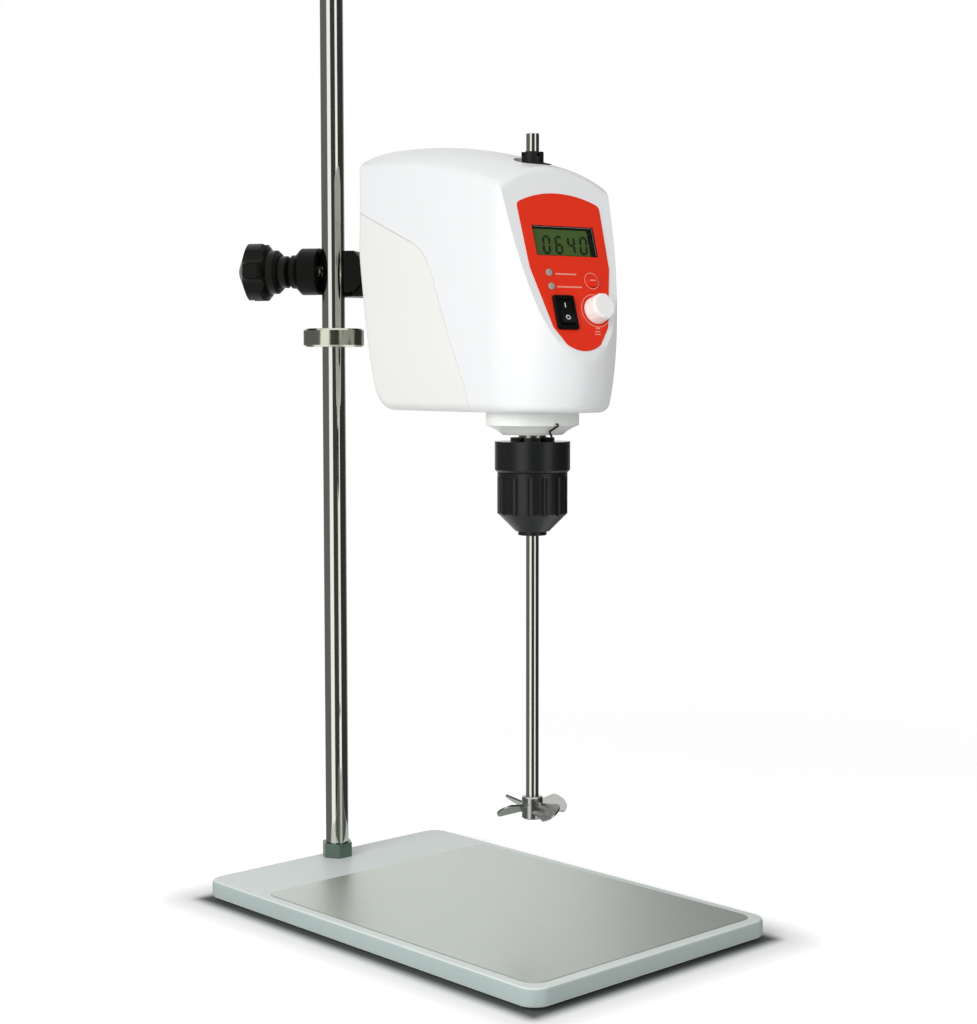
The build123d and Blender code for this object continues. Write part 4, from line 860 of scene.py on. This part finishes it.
@dataclass
class HeadShell(SubAssembly):
    """Housing of the head with everything that it shows or hides, but for the panel's prints."""

    SKINS: ClassVar[tuple[Skin, ...]] = (
        Skin("front_shell", "head", "housing_white", angle=32.0),
        Skin("rear_cover", "head", "cover_white", angle=32.0),
        Skin("nose_cone", "head", "cone_white", "housing_white", 40.0),
        Skin("wire_hook", "head", "wire_black", "black_metal", 50.0),
        Skin("arm_flange", "head", "clamp_black", "black_metal"),
        Skin("chassis", "head", "frame_alloy"),
        Skin("upper_bearing", "head", "bearing_steel"),
        Skin("lower_bearing", "head", "bearing_steel"),
        Skin("top_seal", "head", "seal_rubber"),
        Skin("motor_case", "head", "motor_shell"),
        Skin("motor_stator", "head", "winding_copper", "winding"),
        Skin("motor_cap", "head", "motor_shell"),
        Skin("belt", "head", "belt_rubber"),
        Skin("main_board", "head", "board_green"),
        Skin("panel_overlay", "head", "panel_red"),
        Skin("display_module", "head", "display_back", "display_green"),
        Skin("display_window", "head", "clear_pane", "window_clear"),
        Skin("leds", "head", "lamp_clear", angle=40.0),
        Skin("speed_pot", "head", "motor_shell"),
        Skin("switch_body", "head", "switch_black"),
        Skin("cord_gland", "head", "gland_black", angle=35.0),
        Skin("cover_screws", "head", "turned_steel", "satin_steel", 35.0),
        Skin("rocker", "rocker", "switch_black", angle=25.0),
        Skin("key_button", "key", "panel_red", angle=35.0),
        Skin("speed_knob", "speed_knob", "dial_white"),
        Skin("pot_shaft", "speed_knob", "turned_steel", "satin_steel"),
        Skin("motor_rotor", "rotor", "turned_steel", "satin_steel"),
        Skin("motor_pulley", "rotor", "pulley_alloy"),
    )
    SIDE_SHARE: ClassVar[float] = 0.7
    place: HeadPlace

    def dress_sides(self, piece: Piece, node: str) -> None:
        """Paints shade on the cut edge of the display's pane, with the black of the painted edge shade.

        Args:
            piece: The dressed copy.
            node: Name of its CAD node.
        """
        # Painted shade: the pane's sides turn black like the shade at the window's inner edges.
        if node == "display_window":
            outwards = self.place.panel().to_3x3() @ Vector((0, 0, 1))
            self.finishes.put_on_sides(piece, "edge_shade_black", outwards, self.SIDE_SHARE)


@dataclass
class ControlPanel:
    """Marks of the panel: display figures, label lines, rings and rocker marks, in millimetres.

    LABELS holds the place, length and width of each printed line; RINGS holds the place, outer
    radius and width of each printed ring.
    """

    LABELS: ClassVar[tuple[tuple[float, float, float, float], ...]] = (
        (-3.9, -44.0, 15.0, 0.9),
        (-3.0, -52.0, 18.0, 0.9),
        (12.0, -77.4, 3.2, 0.9),
        (11.4, -79.5, 3.8, 0.6),
        (11.2, -81.2, 4.4, 0.6),
    )
    RINGS: ClassVar[tuple[tuple[float, float, float, float], ...]] = (
        (14.0, -47.8, 5.2, 0.5),
        (12.8, -66.5, 10.3, 0.45),
    )

    finishes: Finishes
    place: HeadPlace
    ink: float = 0.03
    ink_gap: float = 0.005
    leaf: float = 0.02
    window_half: float = 22.0
    window_top: float = -13.9
    window_bottom: float = -32.5
    window_gap: float = 0.2
    field_out: float = -0.985
    # Painted shade along the display window's inner edges: its rise above the field and its width on each
    # side.
    edge_shade_rise: float = 0.03
    edge_shade_top: float = 1.5
    edge_shade_right: float = 4.0
    edge_shade_left: float = 0.5
    edge_shade_bottom: float = 0.4
    digits: str = "0640"
    digit_left: float = -15.1
    digit_pitch: float = 8.9
    digit_width: float = 5.8
    digit_top: float = -19.4
    digit_height: float = 11.8
    digit_stroke: float = 1.6
    digit_slant: float = 7.0
    digit_rise: float = 0.035
    digit_level_cut: float = 1.45
    digit_upright_cut: float = 0.45
    key_spot: tuple[float, float] = (14.0, -47.8)
    key_proud: float = 1.3
    key_line: tuple[float, float] = (4.4, 0.7)
    rocker_spot: tuple[float, float] = (-9.55, -68.0)
    rocker_depth: float = 1.0
    rocker_rest: float = -6.0
    rocker_slope: float = 8.86
    rocker_middle: float = 2.2
    rocker_reach: float = 3.9
    mark_gap: float = 0.01
    mark_height: float = 0.04
    mark_bar: tuple[float, float] = (3.0, 0.7)
    mark_ring: tuple[float, float] = (1.6, 0.6)
    mark_corners: int = 40
    segments: dict[str, str] = field(
        default_factory=lambda: {"0": "abcdef", "6": "acdefg", "4": "bcfg"}
    )

    def show(self, piece: Piece, finish: str, body: str = "head") -> None:
        """Dresses and reports one printed piece.

        Args:
            piece: Finished piece.
            finish: Name of its finish.
            body: Body that carries it.
        """
        self.finishes.put(piece, finish)
        report(piece, body)

    def plate(self, name: str, low: tuple[float, float], high: tuple[float, float], out: float) -> Piece:
        """Models a thin rectangular plate on the panel, between two corners.

        Args:
            name: Name of the piece.
            low: Left and lower edge on the panel.
            high: Right and upper edge on the panel.
            out: Height of its lower face above the facet.

        Returns:
            The plate at its place.
        """
        Bench.clear()
        bpy.ops.mesh.primitive_plane_add(size=1.0)
        piece = bpy.context.active_object
        piece.name = name
        piece.data.name = name
        with Bench.editing(piece):
            bpy.ops.transform.resize(value=((high[0] - low[0]) * MM, (high[1] - low[1]) * MM, 1))
        Bench.thicken(piece, self.leaf * MM)
        middle = ((low[0] + high[0]) / 2, (low[1] + high[1]) / 2)
        Bench.settle(piece, self.place.panel(middle[0], middle[1], out))
        return piece

    def build_display(self) -> None:
        """Shows the display's field, painted shade along the window's inner edges as dark strips, widest on
        the right, and its figures behind the pane.
        """
        left, right = -self.window_half + self.window_gap, self.window_half - self.window_gap
        low, high = self.window_bottom + self.window_gap, self.window_top - self.window_gap
        field_plate = self.plate("display_field", (left, low), (right, high), self.field_out)
        self.show(field_plate, "display_back")
        out = self.field_out + self.edge_shade_rise
        top, inner = high - self.edge_shade_top, right - self.edge_shade_right
        edge = left + self.edge_shade_left
        # Painted shade: dark strips where the window's inner edges shade the display's field.
        strips = [
            self.plate("strip", (left, top), (right, high), out),
            self.plate("strip", (inner, low), (right, top), out),
            self.plate("strip", (left, low), (edge, top), out),
            self.plate("strip", (edge, low), (inner, low + self.edge_shade_bottom), out),
        ]
        self.show(Bench.join(strips, "display_edge_shade"), "edge_shade_black")
        self.show(self.figures(), "display_ink")

    def figures(self) -> Piece:
        """Models the four figures as seven-segment bars.

        Returns:
            All bars as one piece.
        """
        bars: list[Piece] = []
        width, height, stroke = self.digit_width, self.digit_height, self.digit_stroke
        half = (height - stroke) / 2
        spots = {
            "a": (width / 2, -stroke / 2, 0),
            "g": (width / 2, -height / 2, 0),
            "d": (width / 2, -height + stroke / 2, 0),
            "f": (stroke / 2, -stroke / 2 - half / 2, 90),
            "b": (width - stroke / 2, -stroke / 2 - half / 2, 90),
            "e": (stroke / 2, -height / 2 - half / 2, 90),
            "c": (width - stroke / 2, -height / 2 - half / 2, 90),
        }
        slant = sin(radians(self.digit_slant)) / cos(radians(self.digit_slant))
        lean = Matrix(((1, slant, 0, 0), (0, 1, 0, 0), (0, 0, 1, 0), (0, 0, 0, 1)))
        level = width - stroke * self.digit_level_cut
        upright = half - stroke * self.digit_upright_cut
        out = self.field_out + self.digit_rise
        for index, figure in enumerate(self.digits):
            corner = self.place.panel(self.digit_left + index * self.digit_pitch, self.digit_top, out)
            for segment in self.segments[figure]:
                across, up, turn = spots[segment]
                length = level if turn == 0 else upright
                bar = Bench.bar("segment", length * MM, stroke * MM, self.leaf * MM)
                shift = Matrix.Translation(Vector((across, up, 0)) * MM)
                Bench.settle(bar, lean @ shift @ Matrix.Rotation(radians(turn), 4, "Z"))
                Bench.settle(bar, corner)
                bars.append(bar)
        return Bench.join(bars, "display_figures")

    def build_prints(self) -> None:
        """Prints the label lines, the key's ring, the dial's ring and the small sign on the film."""
        out = self.place.panel_face + self.ink_gap
        prints: list[Piece] = []
        for across, up, length, width in self.LABELS:
            bar = Bench.bar("print", length * MM, width * MM, self.ink * MM)
            Bench.settle(bar, self.place.panel(across, up, out))
            prints.append(bar)
        for across, up, radius, width in self.RINGS:
            ring = Bench.ring("print", radius * MM, width * MM, self.ink * MM)
            Bench.settle(ring, self.place.panel(across, up, out))
            prints.append(ring)
        self.show(Bench.join(prints, "panel_prints"), "print_pale")

    def build_key_sign(self) -> None:
        """Prints the short line on the round key."""
        length, width = self.key_line
        bar = Bench.bar("key_sign", length * MM, width * MM, self.ink * MM)
        out = self.place.panel_face + self.key_proud + self.ink_gap
        Bench.settle(bar, self.place.panel(*self.key_spot, out))
        self.show(bar, "print_pale", "key")

    def build_rocker_marks(self) -> None:
        """Marks the rocker with a bar above and a ring below, on its two slopes."""
        pivot = self.place.panel(*self.rocker_spot, self.place.panel_face - self.rocker_depth)
        spot = pivot @ Matrix.Rotation(radians(self.rocker_rest), 4, "X")
        slope, reach, height = radians(self.rocker_slope), self.rocker_reach, self.mark_height * MM
        out = self.rocker_middle + (reach * sin(slope) / cos(slope) + self.mark_gap)
        upper = spot @ Matrix.Translation(Vector((0, reach, out)) * MM)
        lower = spot @ Matrix.Translation(Vector((0, -reach, out)) * MM)
        length, width = self.mark_bar
        bar = Bench.bar("rocker_bar", length * MM, width * MM, height)
        turn = Matrix.Rotation(slope, 4, "X") @ Matrix.Rotation(radians(90), 4, "Z")
        Bench.settle(bar, upper @ turn)
        radius, width = self.mark_ring
        ring = Bench.ring("rocker_ring", radius * MM, width * MM, height, self.mark_corners)
        Bench.settle(ring, lower @ Matrix.Rotation(-slope, 4, "X"))
        self.show(Bench.join([bar, ring], "rocker_marks"), "mark_white", "rocker")

    def build(self) -> None:
        """Builds every mark of the panel."""
        self.build_display()
        self.build_prints()
        self.build_key_sign()
        self.build_rocker_marks()


@dataclass
class ChuckAndTool(SubAssembly):
    """Spindle with its chuck, and the stirring shaft with its propeller."""

    SKINS: ClassVar[tuple[Skin, ...]] = (
        Skin("spindle", "spindle", "turned_steel", "satin_steel"),
        Skin("spindle_cap", "spindle", "gland_black"),
        Skin("spindle_pulley", "spindle", "pulley_alloy"),
        Skin("chuck_body", "spindle", "chuck_black"),
        Skin("chuck_washer", "spindle", "turned_steel", "satin_steel"),
        Skin("chuck_rear_sleeve", "spindle", "chuck_black"),
        Skin("chuck_front_sleeve", "front_sleeve", "chuck_black", angle=24.0),
        Skin("jaw_1", "jaw_1", "turned_steel", "satin_steel"),
        Skin("jaw_2", "jaw_2", "turned_steel", "satin_steel"),
        Skin("jaw_3", "jaw_3", "turned_steel", "satin_steel"),
        Skin("stirring_shaft", "shaft", "polished_rod", "bright_steel"),
        Skin("propeller", "shaft", "blade_steel", "satin_steel", 35.0),
        Skin("propeller_screw", "shaft", "turned_steel", "satin_steel"),
    )


@dataclass(frozen=True)
class Lamp:
    """One square soft lamp; bearings run to the right of the camera's own, seen from the rod."""

    name: str
    bearing: float
    lift: float
    distance: float
    size: float
    watts: float


@dataclass(frozen=True)
class Card:
    """One dark card that only mirror-like surfaces see, between two bearings."""

    name: str
    start: float
    end: float
    level: float


@dataclass
class Studio:
    """White studio: floor, lamps, dark cards for the steel's reflections, world and camera.

    The floor fades out between the two distances of floor_fade from the rod. For the camera it
    is lifted to white over lift_reach from the plate, and a shadow is painted into its colour over
    shade_span round the plate's rim, where the plate's shadow is deepest.
    """

    eye: Point = (-798.0, -898.5, 349.0)
    azimuth: float = -42.86
    pitch: float = 4.14
    roll: float = -0.07
    lens: float = 65.29
    clip: tuple[float, float] = (0.01, 50.0)
    floor_size: float = 8.0
    floor_sink: float = 0.0003
    floor_tone: Colour = (0.96, 0.96, 0.96)
    floor_fade: tuple[float, float] = (0.35, 0.95)
    lift_reach: float = 0.05
    lift_level: float = 0.42
    shade_tone: Colour = (0.08, 0.09, 0.09)
    shade_span: tuple[float, float] = (-0.002, 0.012)
    world_level: float = 0.46
    aim_height: float = 0.35
    card_distance: float = 1.6
    card_height: float = 3.6
    plate_middle: Point = (0.0, -0.0275, 0.0)
    plate_half: Point = (0.103, 0.158, 1.0)
    lamps: tuple[Lamp, ...] = (
        Lamp("left_lamp", -34.0, 15.0, 1.4, 0.9, 13.6),
        Lamp("right_lamp", 58.0, 15.0, 2.0, 1.0, 5.5),
    )
    cards: tuple[Card, ...] = (
        Card("left_card", -150.0, -49.0, 0.13),
        Card("camera_card", -14.0, 35.0, 0.045),
        Card("right_card", 58.0, 140.0, 0.035),
        Card("rear_card", 141.0, 172.0, 0.3),
    )

    def build_camera(self) -> None:
        """Sets the camera where the photograph was taken from."""
        data = bpy.data.cameras.new("camera")
        data.sensor_fit = "AUTO"
        data.sensor_width = 36.0
        data.lens = self.lens
        data.clip_start, data.clip_end = self.clip
        camera = bpy.data.objects.new("camera", data)
        bpy.context.scene.collection.objects.link(camera)
        turn, tip = radians(self.azimuth), radians(self.pitch)
        back = Vector((sin(turn) * cos(tip), -cos(turn) * cos(tip), sin(tip)))
        spot = Matrix.Translation(Vector(self.eye) * MM)
        camera.matrix_world = spot @ facing(back) @ Matrix.Rotation(radians(self.roll), 4, "Z")
        bpy.context.scene.camera = camera

    def build_world(self) -> None:
        """Lights the scene evenly and shows white behind it."""
        world = bpy.data.worlds.new("studio")
        bpy.context.scene.world = world
        world.use_nodes = True
        graph = Graph(world.node_tree)
        shown = world.node_tree.nodes["Background"]
        graph.fill(shown, {"Color": (1, 1, 1, 1)})
        path = graph.node("LightPath")
        seen = graph.node("Math", operation="ADD", use_clamp=True)
        both = graph.node("Math", operation="ADD", use_clamp=True)
        strength = graph.node("MapRange", {"To Min": self.world_level, "To Max": 1.0})
        graph.wire(path, "Is Camera Ray", seen, 0)
        graph.wire(path, "Is Glossy Ray", seen, 1)
        graph.wire(seen, 0, both, 0)
        graph.wire(path, "Is Transmission Ray", both, 1)
        graph.wire(both, 0, strength, "Value")
        graph.wire(strength, "Result", shown, "Strength")

    def glow_around_plate(self, graph: Graph, shader: Node, place: Node) -> None:
        """Lifts the floor to white away from the plate and paints a shadow into its colour under the plate's
        edge.

        Args:
            graph: Graph of the floor's material.
            shader: The floor's shader.
            place: Its texture coordinates.
        """
        offset = graph.node("VectorMath", {1: self.plate_middle}, operation="SUBTRACT")
        mirror = graph.node("VectorMath", operation="ABSOLUTE")
        outside = graph.node("VectorMath", {1: self.plate_half}, operation="SUBTRACT")
        positive = graph.node("VectorMath", operation="MAXIMUM")
        away = graph.node("VectorMath", operation="LENGTH")
        lift = graph.node(
            "MapRange",
            {"From Max": self.lift_reach, "To Max": self.lift_level},
            interpolation_type="SMOOTHSTEP",
        )
        path = graph.node("LightPath")
        shown = graph.node("Math", operation="MULTIPLY")
        graph.wire(place, "Object", offset, 0)
        graph.wire(offset, "Vector", mirror, 0)
        graph.wire(mirror, "Vector", outside, 0)
        graph.wire(outside, "Vector", positive, 0)
        graph.wire(positive, "Vector", away, 0)
        graph.wire(away, "Value", lift, "Value")
        graph.wire(lift, "Result", shown, 0)
        graph.wire(path, "Is Camera Ray", shown, 1)
        graph.wire(shown, 0, shader, "Emission Strength")
        # Painted shadow: the floor's colour goes dark round the plate's rim.
        shade = graph.node(
            "MapRange",
            {"From Min": self.shade_span[0], "From Max": self.shade_span[1]},
            interpolation_type="SMOOTHSTEP",
        )
        tone = graph.node("Mix", {"A": (*self.shade_tone, 1), "B": (*self.floor_tone, 1)}, data_type="RGBA")
        graph.wire(away, "Value", shade, "Value")
        graph.wire(shade, "Result", tone, "Factor")
        graph.wire(tone, "Result", shader, "Base Color")

    def build_floor(self) -> None:
        """Lays a pale floor that fades into the white background."""
        Bench.clear()
        bpy.ops.mesh.primitive_plane_add(size=self.floor_size, location=(0, 0, -self.floor_sink))
        floor = bpy.context.active_object
        floor.name = "floor"
        material, graph, shader = Graph.open_material("floor_paper")
        graph.fill(shader, {"Roughness": 0.9, "Specular IOR Level": 0.0, "Emission Color": (1, 1, 1, 1)})
        clear = graph.node("BsdfTransparent")
        mix = graph.node("MixShader")
        place = graph.node("TexCoord")
        reach = graph.node("VectorMath", operation="LENGTH")
        fade = graph.node(
            "MapRange",
            {"From Min": self.floor_fade[0], "From Max": self.floor_fade[1]},
            interpolation_type="SMOOTHSTEP",
        )
        self.glow_around_plate(graph, shader, place)
        graph.wire(place, "Object", reach, 0)
        graph.wire(reach, "Value", fade, "Value")
        graph.wire(fade, "Result", mix, "Fac")
        graph.wire(shader, "BSDF", mix, 1)
        graph.wire(clear, "BSDF", mix, 2)
        graph.wire(mix, "Shader", graph.tree.nodes["Material Output"], "Surface")
        floor.data.materials.append(material)
        floor.visible_glossy = False

    def towards(self, bearing: float) -> Vector:
        """Finds the level direction from the rod at a bearing.

        Args:
            bearing: Degrees to the right of the camera's own bearing.

        Returns:
            The direction.
        """
        turn = radians(self.azimuth + bearing)
        return Vector((sin(turn), -cos(turn), 0))

    def hang(self, lamp: Lamp) -> None:
        """Hangs one soft lamp, which mirror-like surfaces don't see.

        Args:
            lamp: The lamp's place and power.
        """
        data = bpy.data.lights.new(lamp.name, "AREA")
        data.shape = "SQUARE"
        data.size = lamp.size
        data.energy = lamp.watts
        hung = bpy.data.objects.new(lamp.name, data)
        bpy.context.scene.collection.objects.link(hung)
        lift = radians(lamp.lift)
        away = self.towards(lamp.bearing) * cos(lift) + Vector((0, 0, sin(lift)))
        spot = Vector((0, 0, self.aim_height)) + away * lamp.distance
        hung.matrix_world = Matrix.Translation(spot) @ facing(away)
        hung.visible_glossy = False

    def stand(self, card: Card) -> None:
        """Stands one dark card round the scene.

        Args:
            card: The card's bearings and level.
        """
        half = radians(card.end - card.start) / 2
        width = 2 * self.card_distance * sin(half) / cos(half)
        away = self.towards((card.start + card.end) / 2)
        Bench.clear()
        bpy.ops.mesh.primitive_plane_add(size=1.0)
        board = bpy.context.active_object
        board.name = card.name
        spot = away * self.card_distance + Vector((0, 0, self.aim_height))
        size = Matrix.Diagonal(Vector((width, self.card_height, 1, 1)))
        board.matrix_world = Matrix.Translation(spot) @ facing(away) @ size
        bpy.ops.object.transform_apply(location=True, rotation=True, scale=True)
        material, graph, _ = Graph.open_material(card.name)
        glow = graph.node("Emission", {"Color": (card.level, card.level, card.level, 1)})
        graph.wire(glow, "Emission", graph.tree.nodes["Material Output"], "Surface")
        board.data.materials.append(material)
        for ray in ("camera", "diffuse", "shadow", "transmission", "volume_scatter"):
            setattr(board, "visible_" + ray, False)

    def build(self) -> None:
        """Builds the whole studio."""
        bpy.context.scene.view_settings.view_transform = "Standard"
        self.build_camera()
        self.build_world()
        self.build_floor()
        for lamp in self.lamps:
            self.hang(lamp)
        for card in self.cards:
            self.stand(card)


def main() -> None:
    """Builds the stirrer's looks piece by piece, then the studio."""
    logging.basicConfig(level=logging.INFO, format="%(message)s")
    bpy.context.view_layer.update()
    studio = Studio()
    studio.build()
    finishes = Finishes()
    place = HeadPlace()
    PlateStand(finishes).build()
    Column(finishes).build()
    BossClamp(finishes).build()
    HeadShell(finishes, place).build()
    ControlPanel(finishes, place).build()
    ChuckAndTool(finishes).build()


if __name__ == "__main__":
    main()
